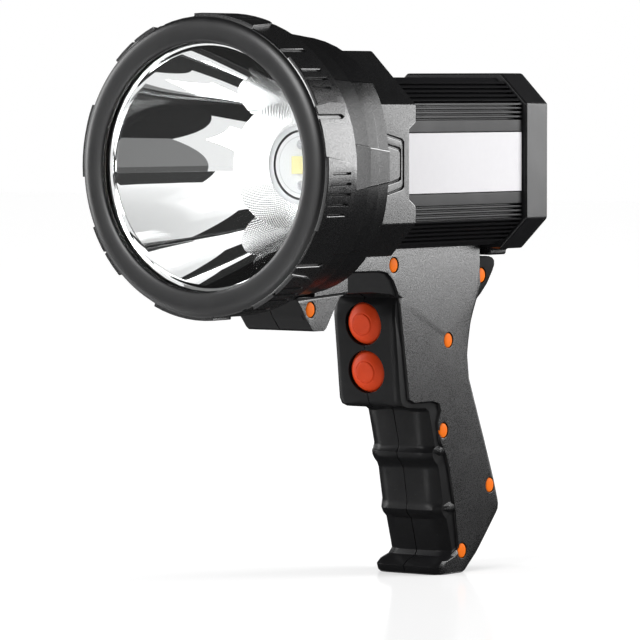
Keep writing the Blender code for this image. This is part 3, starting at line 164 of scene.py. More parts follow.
def refined(node, rounding, smooth, segments=2):
    """A merged copy of a CAD node with rounded edges, shaded so that flat faces stay flat.

    Flat areas become one face each and are then cut into well-shaped triangles, because a bevel
    tears a large face with a hollow outline.
    """
    piece = bpy.data.objects.new(node + "_finish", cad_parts[node].data.copy())
    bpy.context.scene.collection.objects.link(piece)
    only(piece)
    bpy.ops.mesh.customdata_custom_splitnormals_clear()
    bpy.ops.object.mode_set(mode="EDIT")
    bpy.ops.mesh.select_all(action="SELECT")
    bpy.ops.mesh.remove_doubles(threshold=CAD_WELD)
    bpy.ops.mesh.dissolve_limited(angle_limit=FLAT_WITHIN)
    bpy.ops.mesh.select_all(action="SELECT")
    bpy.ops.mesh.quads_convert_to_tris(quad_method="BEAUTY", ngon_method="BEAUTY")
    bpy.ops.mesh.normals_make_consistent(inside=False)
    bpy.ops.object.mode_set(mode="OBJECT")
    if rounding:
        piece.data.materials.clear()
        for _ in range(EDGE_SLOT + 1):
            piece.data.materials.append(None)
        bevel = piece.modifiers.new("rounding", "BEVEL")
        bevel.material = EDGE_SLOT
        bevel.width = rounding
        bevel.segments = segments
        bevel.limit_method = "ANGLE"
        bevel.angle_limit = ROUND_OVER
        bevel.use_clamp_overlap = False
        bpy.ops.object.modifier_apply(modifier="rounding")
    bpy.ops.object.shade_smooth_by_angle(angle=math.radians(smooth))
    weights = piece.modifiers.new("weights", "WEIGHTED_NORMAL")
    weights.keep_sharp = True
    bpy.ops.object.modifier_apply(modifier="weights")
    return piece


def wear(piece, material, body, node):
    """Gives a piece its material, and the CAD body and node that it stands for."""
    piece.data.materials.clear()
    piece.data.materials.append(material)
    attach(piece, body)
    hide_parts(node)


print("refining helpers:", refined.__name__, wear.__name__)

# %% [markdown]
# ## Effects that several finishes share
# Moulded plastic has a fine sparked grain, rubber a softer one, and everything that is handled
# picks up faint marks. These could be drawn again in each material, but a node group is built
# once, with named inputs, and each material sets its own size. A group only puts out values: the
# shader itself stays in the material, where an exporter can find it.

# %% Node helpers
def feed(tree, socket, value):
    """Sets a socket to a number or a colour, or links another node's output to it."""
    if isinstance(value, tuple):
        socket.default_value = (*value, 1.0)
    elif isinstance(value, (int, float)):
        socket.default_value = value
    else:
        tree.links.new(value, socket)


def maths(tree, how, *values):
    """A Math node: each value is a number or another node's output."""
    node = tree.nodes.new("ShaderNodeMath")
    node.operation = how
    for socket, value in zip(node.inputs, values):
        feed(tree, socket, value)
    return node.outputs[0]


def noise(tree, where, scale, detail, roughness):
    """A Noise texture's value."""
    node = tree.nodes.new("ShaderNodeTexNoise")
    for label, value in (("Vector", where), ("Scale", scale), ("Detail", detail), ("Roughness", roughness)):
        feed(tree, node.inputs[label], value)
    return node.outputs[0]


def start_group(name, size, outputs):
    """A node group with a Size input: the group, its size, its output node and object coordinates."""
    group = bpy.data.node_groups.new(name, "ShaderNodeTree")
    socket = group.interface.new_socket("Size", in_out="INPUT", socket_type="NodeSocketFloat")
    socket.default_value = size
    for label in outputs:
        group.interface.new_socket(label, in_out="OUTPUT", socket_type="NodeSocketFloat")
    entry = group.nodes.new("NodeGroupInput")
    leave = group.nodes.new("NodeGroupOutput")
    where = group.nodes.new("ShaderNodeTexCoord")
    return group, entry.outputs["Size"], leave, where.outputs["Object"]


print("node helpers:", feed.__name__, maths.__name__, noise.__name__, start_group.__name__)

# %% The grain group
GRAIN_SIZE = 0.0005
CELL_SHARE = 0.2
TONES_PER_GRAIN = 6.0

grain, size, leave, where = start_group("moulded_grain", GRAIN_SIZE, ["Height", "Tone"])
scale = maths(grain, "DIVIDE", 1.0, size)
pits = noise(grain, where, scale, 2.0, 0.6)
cells = grain.nodes.new("ShaderNodeTexVoronoi")
cells.feature = "SMOOTH_F1"
feed(grain, cells.inputs["Vector"], where)
feed(grain, cells.inputs["Scale"], scale)
height = maths(grain, "ADD", pits, maths(grain, "MULTIPLY", cells.outputs[0], CELL_SHARE))
feed(grain, leave.inputs["Height"], height)
tone = noise(grain, where, maths(grain, "DIVIDE", scale, TONES_PER_GRAIN), 3.0, 0.6)
feed(grain, leave.inputs["Tone"], tone)
print("group", grain.name, "outputs", [s.name for s in leave.inputs if s.name])

# %% [markdown]
# Handling leaves broad, faint patches that are a little shinier, and a few fine specks of dust.
# A photograph of a new lamp hardly shows them, but without them a large black face looks painted
# on. Two sizes of noise, pushed through a steep ramp, give patches and specks apart.

# %% The handling group
MARKS_SIZE = 0.03
PATCHES_FROM, PATCH_STEEPNESS = 0.45, 3.0
SPECKS_FROM, SPECK_STEEPNESS = 0.74, 12.0
SPECKS_PER_PATCH = 90.0


def ramped(tree, value, start, steepness):
    """0 up to the start, and then a steep rise to 1."""
    rise = maths(tree, "MULTIPLY", maths(tree, "SUBTRACT", value, start), steepness)
    return maths(tree, "MINIMUM", maths(tree, "MAXIMUM", rise, 0.0), 1.0)


marks, size, leave, where = start_group("handling_marks", MARKS_SIZE, ["Patches", "Specks"])
scale = maths(marks, "DIVIDE", 1.0, size)
broad = noise(marks, where, scale, 4.0, 0.6)
dots = noise(marks, where, maths(marks, "MULTIPLY", scale, SPECKS_PER_PATCH), 1.0, 0.4)
feed(marks, leave.inputs["Patches"], ramped(marks, broad, PATCHES_FROM, PATCH_STEEPNESS))
feed(marks, leave.inputs["Specks"], ramped(marks, dots, SPECKS_FROM, SPECK_STEEPNESS))
print("group", marks.name, "outputs", [s.name for s in leave.inputs if s.name])

# %% [markdown]
# One recipe then serves most solid finishes: two close tones mixed by broad noise, a roughness
# that the handling patches lower, and the grain as bump. Where a surface sparkles, its grain
# varies the roughness too. What is the same all over is set on the shader's own sockets.

# %% A recipe for moulded and coated surfaces
DUST_SHARE = 0.35
GRAIN_MIDDLE = 0.6


def new_material(name):
    """A material with nodes, its tree and its Principled shader."""
    material = bpy.data.materials.new(name)
    material.use_nodes = True
    tree = material.node_tree
    return material, tree, tree.nodes["Principled BSDF"]


def group_node(tree, group, size):
    """A node group placed in a material, with its own size."""
    node = tree.nodes.new("ShaderNodeGroup")
    node.node_tree = group
    node.inputs["Size"].default_value = size
    return node


def mixed_colour(tree, factor, first, second):
    """The first colour where the factor is 0, and the second where it is 1."""
    node = tree.nodes.new("ShaderNodeMix")
    node.data_type = "RGBA"
    feed(tree, node.inputs["Factor"], factor)
    feed(tree, node.inputs[6], first)
    feed(tree, node.inputs[7], second)
    return node.outputs[2]


def spread(tree, factor, low, high):
    """A value that runs from low to high as the factor runs from 0 to 1."""
    node = tree.nodes.new("ShaderNodeMapRange")
    for label, value in (("Value", factor), ("To Min", low), ("To Max", high)):
        feed(tree, node.inputs[label], value)
    return node.outputs[0]


def bump(tree, shader, height, distance):
    """Raises a height as bump on a shader's normal."""
    node = tree.nodes.new("ShaderNodeBump")
    node.inputs["Distance"].default_value = distance
    node.inputs["Strength"].default_value = 1.0
    feed(tree, node.inputs["Height"], height)
    feed(tree, shader.inputs["Normal"], node.outputs[0])


def finish(name, tones, rough, grain_size, grain_depth, metal=0.0, shine=0.5, sparkle=0.0):
    """A Principled material with two tones and dust, handled roughness and a grain bump."""
    material, tree, shader = new_material(name)
    texture = group_node(tree, grain, grain_size)
    handled = group_node(tree, marks, MARKS_SIZE)
    dusty = maths(tree, "MULTIPLY", handled.outputs["Specks"], DUST_SHARE)
    colour = mixed_colour(tree, texture.outputs["Tone"], tones[0], tones[1])
    feed(tree, shader.inputs["Base Color"], mixed_colour(tree, dusty, colour, tones[2]))
    worn = spread(tree, handled.outputs["Patches"], rough[1], rough[0])
    above_middle = maths(tree, "SUBTRACT", texture.outputs["Height"], GRAIN_MIDDLE)
    sparks = maths(tree, "MULTIPLY", above_middle, sparkle)
    feed(tree, shader.inputs["Roughness"], maths(tree, "ADD", worn, sparks))
    bump(tree, shader, texture.outputs["Height"], grain_depth)
    shader.inputs["Metallic"].default_value = metal
    shader.inputs["Specular IOR Level"].default_value = shine
    return material


print("recipe:", finish.__name__)

# %% [markdown]
# The grip, the bezel, the head and the collar are the same grained black plastic, but they differ
# in gloss, as pieces from different moulds do, and their crisp edges are smoother than their
# faces. One material could serve all, but then the gloss would be wrong on most of them. Each
# finish gives two tones and its dust, how rough it is where it is handled and where it isn't, and
# the size and depth of its grain.

# %% Black plastics and rubber
DUST = (0.10, 0.10, 0.10)
MOULDED_BLACK = ((0.007, 0.007, 0.0075), (0.012, 0.012, 0.0125), DUST)
SMOOTH_BLACK = ((0.006, 0.006, 0.0065), (0.010, 0.010, 0.0105), DUST)
MOULD_GRAIN = 0.00045
MOULD_SPARKLE = 0.55


def grained(name, rough, depth, shine):
    """One of the black plastics with a sparked grain."""
    return finish(name, MOULDED_BLACK, rough, MOULD_GRAIN, depth, shine=shine, sparkle=MOULD_SPARKLE)


grip_black = grained("grip_grained_plastic", (0.25, 0.30), 0.00004, 0.72)
bezel_black = grained("bezel_grained_plastic", (0.25, 0.30), 0.000035, 0.66)
head_black = grained("head_grained_plastic", (0.28, 0.33), 0.00003, 0.15)
collar_black = grained("collar_grained_plastic", (0.28, 0.33), 0.00003, 0.36)
polished = finish("edge_polished_plastic", MOULDED_BLACK, (0.18, 0.22), MOULD_GRAIN, 0.00001, shine=0.8)
satin = finish("satin_black_plastic", SMOOTH_BLACK, (0.26, 0.34), 0.0005, 0.00001, shine=0.16)
dull = finish("dull_black_plastic", SMOOTH_BLACK, (0.34, 0.42), 0.0005, 0.00001, shine=0.03)
rubber = finish("black_rubber", SMOOTH_BLACK, (0.29, 0.37), 0.0008, 0.00002, shine=0.42)
print("black finishes:", len(bpy.data.materials))

# %% Metals, diffusers, plugs and buttons
COATED_BLACK = ((0.010, 0.010, 0.011), (0.014, 0.014, 0.015), DUST)

anodised = finish("black_anodised_aluminium", COATED_BLACK, (0.30, 0.38), 0.0004, 0.00001, shine=0.1)
cap_black = finish("cap_anodised_aluminium", COATED_BLACK, (0.30, 0.38), 0.0005, 0.00002, shine=0.23)
milky = finish("milky_diffuser", ((0.71, 0.70, 0.72), (0.75, 0.74, 0.76), (0.7, 0.7, 0.7)),
               (0.30, 0.36), 0.0006, 0.000008, shine=0.1)
orange = finish("orange_plug_plastic", ((0.90, 0.165, 0.006), (0.97, 0.20, 0.010), (0.9, 0.5, 0.3)),
                (0.40, 0.48), 0.0004, 0.00001, shine=0.06)
button_rubber = finish("orange_red_rubber", ((0.62, 0.046, 0.006), (0.70, 0.058, 0.008), (0.7, 0.3, 0.2)),
                       (0.44, 0.54), 0.0004, 0.00002, shine=0.2)
steel = finish("plated_steel", ((0.55, 0.55, 0.57), (0.62, 0.62, 0.64), (0.5, 0.5, 0.5)),
               (0.22, 0.34), 0.0003, 0.00001, metal=1.0)
raw_aluminium = finish("machined_aluminium", ((0.72, 0.72, 0.74), (0.78, 0.78, 0.80), (0.6, 0.6, 0.6)),
                       (0.28, 0.4), 0.0004, 0.00001, metal=1.0)
cell_wrap = finish("blue_cell_wrap", ((0.03, 0.10, 0.34), (0.04, 0.13, 0.40), (0.3, 0.35, 0.5)),
                   (0.25, 0.35), 0.001, 0.00001)
print("finishes:", len(bpy.data.materials))

# %% [markdown]
# A circuit board is glass fibre under a coloured mask, with copper tracks showing through as
# slightly raised, lighter lines. Blender's brick texture gives long, broken, parallel lines that
# pass for tracks at this size. The white lamp boards show none, so they share the plain recipe.

# %% Circuit board finishes
MASK_GREEN = (0.02, 0.13, 0.06)
TRACK_GREEN = (0.05, 0.24, 0.10)
DEEPER_SHARE = 0.94
MASK_ROUGHNESS = 0.35
TRACK_LENGTH = 0.003
TRACK_WIDTH_SHARE = 0.04
TRACK_RISE = 0.00002
TRACK_TURN = (math.radians(90.0), 0.0, math.radians(45.0))

green_board, tree, shader = new_material("green_board_mask")
place = tree.nodes.new("ShaderNodeTexCoord")
turn = tree.nodes.new("ShaderNodeMapping")
turn.inputs["Rotation"].default_value = TRACK_TURN
feed(tree, turn.inputs["Vector"], place.outputs["Object"])
tracks = tree.nodes.new("ShaderNodeTexBrick")
deeper_green = tuple(c * DEEPER_SHARE for c in MASK_GREEN)
for label, value in (("Vector", turn.outputs[0]), ("Scale", 1.0 / TRACK_LENGTH),
                     ("Mortar Size", TRACK_WIDTH_SHARE), ("Color1", MASK_GREEN), ("Color2", deeper_green),
                     ("Mortar", TRACK_GREEN)):
    feed(tree, tracks.inputs[label], value)
feed(tree, shader.inputs["Base Color"], tracks.outputs["Color"])
shader.inputs["Roughness"].default_value = MASK_ROUGHNESS
bump(tree, shader, tracks.outputs["Fac"], TRACK_RISE)

white_board = finish("white_board_mask", ((0.90, 0.91, 0.92), (0.93, 0.94, 0.95), (0.8, 0.8, 0.8)),
                     (0.3, 0.4), 0.0005, 0.00001)
print("boards:", white_board.name, green_board.name)

# %% [markdown]
# ## The bumper and the front glass
# The bumper is a soft rubber ring that meets the ground first if the lamp is dropped. Its face
# bulges a little and rolls over into the outer edge. A torus would be too round, so its section
# is drawn and spun. The window is a plain clear disc with a ground edge, spun in the same way.

# %% Bumper
BUMPER_STEPS = 192
BUMPER_OUTLINE = [
    (51.0, -1.3), (51.0, -0.9), (51.1, -0.5), (51.5, -0.15), (52.3, 0.15), (53.2, 0.34), (54.2, 0.47),
    (55.4, 0.56), (56.6, 0.58), (57.6, 0.52), (58.5, 0.37), (59.3, 0.13), (60.1, -0.24), (60.8, -0.72),
    (61.2, -1.3), (51.0, -1.3)]

bumper = turned("bumper_ring", from_mm(BUMPER_OUTLINE), BUMPER_STEPS)
wear(bumper, rubber, "lamp", "front_bumper")
print("bumper faces", len(bumper.data.polygons))

# %% Window
WINDOW_TINT = (0.99, 0.998, 0.995, 1.0)
WINDOW_IOR = 1.45
WINDOW_STEPS = 128
SMEAR_SIZE = 0.05
SMEAR_ROUGHNESS = 0.012
GROUND_EDGE = 0.0004

glass, tree, shader = new_material("clear_window")
shader.inputs["Transmission Weight"].default_value = 1.0
shader.inputs["IOR"].default_value = WINDOW_IOR
shader.inputs["Base Color"].default_value = WINDOW_TINT
smears = group_node(tree, marks, SMEAR_SIZE).outputs["Patches"]
feed(tree, shader.inputs["Roughness"], spread(tree, smears, 0.0, SMEAR_ROUGHNESS))

low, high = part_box("lens")
radius = (high.x - low.x) / 2
front, back = -(low.y + BACKSET), -(high.y + BACKSET)
window = turned("front_window", [
    (0.0, front), (radius - GROUND_EDGE, front), (radius, front - GROUND_EDGE), (radius, back + GROUND_EDGE),
    (radius - GROUND_EDGE, back), (0.0, back)], WINDOW_STEPS)
wear(window, glass, "lamp", "lens")
print("window radius", round(radius, 4), "thickness", round(front - back, 4))

# %% [markdown]
# ## The reflector
# The deep bowl is a paraboloid of moulded plastic with a vacuum-coated mirror. Near the lamp chip
# its skin is covered in rows of small dimples that blend the beam, and further out it is plain.
# Real dimples would need hundreds of thousands of faces, so the rows are a bump in polar
# coordinates: the angle round the axis and the distance from it, both worked out by nodes.

# %% Reflector finish
DIMPLE_ROW = 0.0011
DIMPLES_ROUND = 96.0
DIMPLE_TWIST = 1500.0
DIMPLED_WITHIN = 0.0262
DIMPLE_SHARE = 0.5
WAVE_SHARE = 0.6
MIRROR_RELIEF = 0.00012
MIRROR_TONES = ((0.985, 0.985, 0.99), (0.995, 0.995, 0.995))
MIRROR_ROUGHNESS = (0.008, 0.03)


def from_axis(tree):
    """Coordinates counted from the optical axis, whole and in parts, and the distance from it."""
    place = tree.nodes.new("ShaderNodeTexCoord")
    shift = tree.nodes.new("ShaderNodeMapping")
    shift.inputs["Location"].default_value = (0.0, 0.0, -AXIS_HEIGHT)
    feed(tree, shift.inputs["Vector"], place.outputs["Object"])
    parts = tree.nodes.new("ShaderNodeSeparateXYZ")
    feed(tree, parts.inputs[0], shift.outputs[0])
    across, up = (maths(tree, "POWER", parts.outputs[k], 2.0) for k in ("X", "Z"))
    return shift.outputs[0], parts.outputs, maths(tree, "SQRT", maths(tree, "ADD", across, up))


mirror, tree, shader = new_material("coated_mirror")
shader.inputs["Metallic"].default_value = 1.0
where, parts, distance = from_axis(tree)
angle = maths(tree, "ARCTAN2", parts["Z"], parts["X"])
rows = maths(tree, "SINE", maths(tree, "MULTIPLY", parts["Y"], 2 * math.pi / DIMPLE_ROW))
round_axis = maths(tree, "MULTIPLY", angle, DIMPLES_ROUND)
twist = maths(tree, "MULTIPLY", parts["Y"], DIMPLE_TWIST)
columns = maths(tree, "SINE", maths(tree, "ADD", round_axis, twist))
near = maths(tree, "LESS_THAN", distance, DIMPLED_WITHIN)
dimples = maths(tree, "MULTIPLY", maths(tree, "MULTIPLY", rows, columns), near)
waves = noise(tree, where, 30.0, 1.0, 0.4)
relief = maths(tree, "ADD", maths(tree, "MULTIPLY", dimples, DIMPLE_SHARE),
               maths(tree, "MULTIPLY", waves, WAVE_SHARE))
bump(tree, shader, relief, MIRROR_RELIEF)
feed(tree, shader.inputs["Base Color"], mixed_colour(tree, noise(tree, where, 40.0, 2.0, 0.5), *MIRROR_TONES))
haze = noise(tree, where, 60.0, 3.0, 0.6)
feed(tree, shader.inputs["Roughness"], spread(tree, haze, *MIRROR_ROUGHNESS))
print("mirror nodes", len(tree.nodes))

# %% [markdown]
# The bowl's section is a parabola from its neck to its lip, a small bright roll at the lip, and a
# flat flange that the bezel holds. The outer side follows the inner one at the wall's thickness.

# %% Reflector bowl
VERTEX = 0.0789
BOWL_DEPTH = 0.0735
RIM = 0.0502
LIP = 0.0495
OPENING = 0.0168
WALL = 0.0014
FLANGE_R = 0.0573
FLANGE_THICK = 0.0017
FLANGE_CLEAR = 0.0002
ROOT_STEP = 0.0001
LIP_ROLL = [(0.06, 0.9), (0.18, 0.58), (1.4, 0.0)]
CURVE_STEPS = 48
BOWL_STEPS = 160


def bowl(radius):
    """Station of the mirror at a radius: a paraboloid from its vertex to its rim."""
    return VERTEX - BOWL_DEPTH * (radius / RIM) ** 2


low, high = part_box("reflector")
flange, neck_end = low.y + BACKSET, high.y + BACKSET
flange_back = flange + FLANGE_THICK
radii = [LIP + (OPENING - LIP) * k / CURVE_STEPS for k in range(CURVE_STEPS + 1)]
inner = [(r, max(bowl(r), flange)) for r in radii]
outer = []
for r, station in inner:
    slope = math.atan2(2 * BOWL_DEPTH * r, RIM * RIM)
    outer.append((r + WALL * math.sin(slope), station + WALL * math.cos(slope)))
outer = [point for point in outer if point[1] > flange_back + FLANGE_CLEAR]
section = [(FLANGE_R, flange), (FLANGE_R, flange_back), (outer[0][0] + ROOT_STEP, flange_back)]
section += outer + inner[::-1]
section += [(LIP + out, flange + deep) for out, deep in from_mm(LIP_ROLL)]
section += [(FLANGE_R, flange)]
reflector = turned("mirror_bowl", [(r, -min(station, neck_end)) for r, station in section], BOWL_STEPS)
wear(reflector, mirror, "lamp", "reflector")
print("bowl opens at station", round(bowl(OPENING), 4), "faces", len(reflector.data.polygons))

# %% [markdown]
# ## The lamp chip
# At the bottom of the bowl a white board carries one large yellow chip and two small screws. The board is
# turned as one disc with two shallow grooves, and its rings are coloured by their distance from the axis: the
# dark ring where the reflector's neck lands is painted shade, the shadowed inner wall of the neck's recess.

# %% White board
GROOVE_SIDE = 0.0001
FINE_GROOVE = (0.0118, 0.0123, 0.00008)
NECK_GROOVE = (0.0138, 0.0148, 0.0005)
BOARD_EDGE = 0.0002
BOARD_STEPS = 96
# The dark ring between these radii is painted shade of the neck's recess, not a colour of the board.
NECK_SHADE_RADII = (0.0140, 0.0149)
FINE_RING, FINE_RING_HALF = 0.0121, 0.0001
PAINTED_NECK_SHADE = (0.03, 0.03, 0.03)
FINE_RING_COLOUR = (0.55, 0.55, 0.56)


def groove(inside, outside, deep, face):
    """Outline points of a groove with steep sides in a turned face."""
    floor = face - deep
    return [(inside, face), (inside + GROOVE_SIDE, floor), (outside - GROOVE_SIDE, floor), (outside, face)]


low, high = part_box("led_board")
front = -(low.y + BACKSET)
thick = high.y - low.y
edge = (high.x - low.x) / 2
board = turned("lamp_board_disc", [
    (0.0, front), *groove(*FINE_GROOVE, front), *groove(*NECK_GROOVE, front), (edge - BOARD_EDGE, front),
    (edge, front - BOARD_EDGE), (edge, front - thick), (0.0, front - thick)], BOARD_STEPS)

lamp_board = white_board.copy()
lamp_board.name = "lamp_board_mask_painted_shade"
tree = lamp_board.node_tree
colour = tree.nodes["Principled BSDF"].inputs["Base Color"]
plain = colour.links[0].from_socket
_, _, distance = from_axis(tree)
# Painted shade: the board is coloured dark between these radii, where the neck's recess would be in shadow.
painted_shade_from = maths(tree, "GREATER_THAN", distance, NECK_SHADE_RADII[0])
painted_shade_to = maths(tree, "LESS_THAN", distance, NECK_SHADE_RADII[1])
fine_line = maths(tree, "COMPARE", distance, FINE_RING, FINE_RING_HALF)
lined = mixed_colour(tree, fine_line, plain, FINE_RING_COLOUR)
feed(tree, colour, mixed_colour(tree, maths(tree, "MULTIPLY", painted_shade_from, painted_shade_to), lined, PAINTED_NECK_SHADE))
wear(board, lamp_board, "lamp", "led_board")
print("board radius", round(edge, 4))

# %% [markdown]
# The chip is a small square block. Its face is inset twice, the inner field is sunk a little, and
# its edges are softened. The phosphor over it has its own yellow finish.

# %% Chip
CHIP_BORDER = 0.0011
CHIP_STEP = 0.0002
CHIP_SINK = 0.0006
CHIP_SOFTENING = 0.00015
FACES_FRONT = -0.9

phosphor = finish("yellow_phosphor", ((0.93, 0.86, 0.42), (0.96, 0.90, 0.50), (0.95, 0.9, 0.6)),
                  (0.4, 0.5), 0.0002, 0.00002)
low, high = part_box("led_emitter")
fresh()
bpy.ops.mesh.primitive_cube_add(size=1.0, location=(low + high) / 2, scale=high - low)
chip = bpy.context.object
chip.name = "lamp_chip"
bpy.ops.object.transform_apply(location=True, rotation=True, scale=True)
bpy.ops.object.mode_set(mode="EDIT")
bpy.ops.mesh.select_all(action="DESELECT")
skin = bmesh.from_edit_mesh(chip.data)
for face in skin.faces:
    face.select_set(face.normal.y < FACES_FRONT)
bmesh.update_edit_mesh(chip.data)
bpy.ops.mesh.inset(thickness=CHIP_BORDER, depth=0.0)
bpy.ops.mesh.inset(thickness=CHIP_STEP, depth=0.0)
bpy.ops.transform.translate(value=(0.0, CHIP_SINK, 0.0))
bpy.ops.object.mode_set(mode="OBJECT")
soft = chip.modifiers.new("edges", "BEVEL")
soft.width = CHIP_SOFTENING
soft.segments = 2
bpy.ops.object.modifier_apply(modifier="edges")
wear(chip, phosphor, "lamp", "led_emitter")
print("chip", [round(v * 1000, 1) for v in high - low], "mm")

# %% [markdown]
# ## The head, the collar, the body and the grip
# These are moulded and extruded pieces whose faces are already right in the CAD frame: a grooved
# bezel ring, three stepped bands, an eight-sided collar, level cooling plates, an end cap and two
# grip shells. On the bezel, head, collar and end cap an edge is one narrow polished facet, and
# elsewhere it is rounder. On the grip only the flat outer sides are grained: the handle and the
# rounded edges are satin, and the recess over the buttons is dull, because it looks sideways at
# the side panel and should stay dark.

# %% Refined housings
CRISP = ("bezel_ring", "head_housing", "collar", "end_cap")
# Node, rounding, finish, and the angle in degrees below which shading is smooth
HOUSINGS = [
    ("bezel_ring", 0.00024, bezel_black, 30.0), ("head_housing", 0.00024, head_black, 30.0),
    ("collar", 0.0003, collar_black, 35.0), ("heatsink_body", 0.0002, anodised, 35.0),
    ("end_cap", 0.0004, cap_black, 35.0), ("side_diffuser_left", 0.0, milky, 35.0),
    ("side_diffuser_right", 0.0, milky, 35.0), ("grip_shell_left", 0.0002, grip_black, 38.0),
    ("grip_shell_right", 0.0002, grip_black, 38.0),
]
GRAINED_FROM = 0.0163
FLAT_SIDE = 0.9
DULL_ABOVE = 0.110
FACES_SIDEWAYS = 0.7


def dress_grip(shell):
    """Leaves the grain on a shell's flat outer side, and gives its other faces satin or dull."""
    shell.data.materials.append(satin)
    shell.data.materials.append(dull)
    for face in shell.data.polygons:
        inside, sideways = abs(face.center.x) < GRAINED_FROM, abs(face.normal.x)
        face.material_index = int(inside or sideways < FLAT_SIDE)
        if inside and face.center.z > DULL_ABOVE and sideways > FACES_SIDEWAYS:
            face.material_index = 2


for node, rounding, look, smooth in HOUSINGS:
    piece = refined(node, rounding, smooth, 1 if node in CRISP else 2)
    slots = [face.material_index for face in piece.data.polygons]
    wear(piece, look, "lamp", node)
    if node in CRISP:
        piece.data.materials.append(polished)
        for face, slot in zip(piece.data.polygons, slots):
            face.material_index = min(slot, EDGE_SLOT)
    if node.startswith("grip_shell"):
        dress_grip(piece)
    print(node, "faces", len(piece.data.polygons))

# %% [markdown]
# ## Buttons, plugs and screws
# The two thumb buttons are soft rubber domes with a small raised ring to find by touch. The plugs
# that hide the shell screws are shallow orange buttons pressed into their holes. Both are turned
# about their own axis, and each one has its own mesh. The screws and the rubber flap over the
# charging socket are refined copies, the flap without rounding, because it swings in a tight seat.

# %% Buttons
OUT_OF_GRIP = math.radians(6.778)
BUTTON_PLACES = {"upper": (0.11562, 0.0687), "lower": (0.11806, 0.08923)}
BUTTON_STEPS = 96
BUTTON_OUTLINE = [
    (0.0, -5.6), (1.8, -5.6), (1.8, -4.1), (9.88, -4.1), (9.88, -3.1), (8.68, -3.1), (8.68, -1.7), (8.6, -1.42),
    (8.42, -1.22), (8.1, -0.98), (7.6, -0.60), (7.0, -0.19), (6.3, 0.22), (5.6, 0.57), (5.1, 0.79), (4.9, 0.80),
    (4.78, 0.72), (4.66, 0.72), (4.54, 0.86), (4.42, 1.08), (4.28, 1.17), (4.0, 1.20), (3.0, 1.16), (2.0, 1.12),
    (1.0, 1.10), (0.0, 1.10)]

press_axis = Vector((0.0, -math.cos(OUT_OF_GRIP), -math.sin(OUT_OF_GRIP)))
for which, (station, drop) in BUTTON_PLACES.items():
    place = at(0.0, station, drop)
    piece = turned(f"button_{which}_dome", from_mm(BUTTON_OUTLINE), BUTTON_STEPS, place, press_axis)
    wear(piece, button_rubber, f"{which}_button", f"button_{which}")
    print(which, "button at", tuple(round(v, 4) for v in place))

# %% Plugs and screws
PLUGS = [f"screw_plug_{k}" for k in range(1, 8)]
PLUG_STEPS = 48
PLUG_CROWN_SHARES = (0.0, 0.5, 0.8)
PLUG_FALLS = (0.0, 0.00006, 0.0002)
PLUG_EDGE = 0.0002
PLUG_SHOULDER, PLUG_ROLL = 0.0004, 0.0007
SCREWS = ["led_screw_upper", "led_screw_lower", *[f"end_cap_screw_{k}" for k in range(1, 5)]]
SCREW_ROUNDING = 0.0001
SMALL_SMOOTH = 30.0

for k, node in enumerate(PLUGS, 1):
    low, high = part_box(node)
    centre = Vector((low.x, (low.y + high.y) / 2, (low.z + high.z) / 2))
    radius, tall = (high.y - low.y) / 2, high.x - low.x
    crown = [(radius * share, tall - fall) for share, fall in zip(PLUG_CROWN_SHARES, PLUG_FALLS)]
    piece = turned(f"plug_button_{k}", [
        *crown, (radius - PLUG_EDGE, tall - PLUG_SHOULDER), (radius, tall - PLUG_ROLL), (radius, 0.0),
        (0.0, 0.0)], PLUG_STEPS, centre, ACROSS, -FORWARDS)
    wear(piece, orange, "lamp", node)
for node in SCREWS:
    wear(refined(node, SCREW_ROUNDING, SMALL_SMOOTH), steel, "lamp", node)
wear(refined("port_cover", 0.0, SMALL_SMOOTH), rubber, "port_flap", "port_cover")
print("plugs", len(PLUGS), "screws", len(SCREWS))

# %% [markdown]
# ## What is held inside
# The cells, boards, switches and hidden screws are closed in, but they are real pieces of the
# lamp. They keep their CAD shapes and are given the finishes that such pieces have.

# %% Materials for the inner pieces
INSIDE = {
    "lens_gasket": rubber, "heat_spreader": raw_aluminium, "cell_holder": satin, "driver_board": green_board,
    "button_board": green_board, "charge_socket": satin, "switch_upper": steel, "switch_lower": steel,
    "side_board_left": white_board, "side_board_right": white_board,
    **{f"battery_cell_{c}": cell_wrap for c in "abcd"}, **{f"shell_screw_{k}": steel for k in range(1, 8)},
}
for node, look in INSIDE.items():
    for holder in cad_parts[node].material_slots:
        holder.material = look
print("inner pieces", len(INSIDE))

# %% [markdown]
# ## The studio
# A pale floor runs under the lamp, and the world is white wherever the camera, a mirror or glass looks at it.
# Both could be made white with more light, but then the lamp would be too bright, so Light Path gives that
# white only to the rays that look at the background. Close to the lamp the floor glows less, which is painted
# shade round the lamp's foot, on the floor and in its reflections. The shadow under the grip stays, and the
# floor has a faint gloss.

# %% Floor
FLOOR_SIZE = 12.0
FLOOR_GREY = (0.82, 0.82, 0.82)
FLOOR_ROUGHNESS = 0.9
LEAST_WITHIN, MOST_BEYOND = 0.1, 0.7
MOST_WHITE = 0.76
LEAST_WHITE_SEEN = 0.36
GLOSS_ROUGHNESS = 0.12
GLOSS_SHARE = 0.24
WHITE = (1.0, 1.0, 1.0)


def background_rays(tree):
    """1 for a ray of the camera, of a gloss or through glass, and 0 for the soft light."""
    path = tree.nodes.new("ShaderNodeLightPath")
    seen = maths(tree, "MAXIMUM", path.outputs["Is Camera Ray"], path.outputs["Is Glossy Ray"])
    return maths(tree, "MAXIMUM", seen, path.outputs["Is Transmission Ray"])


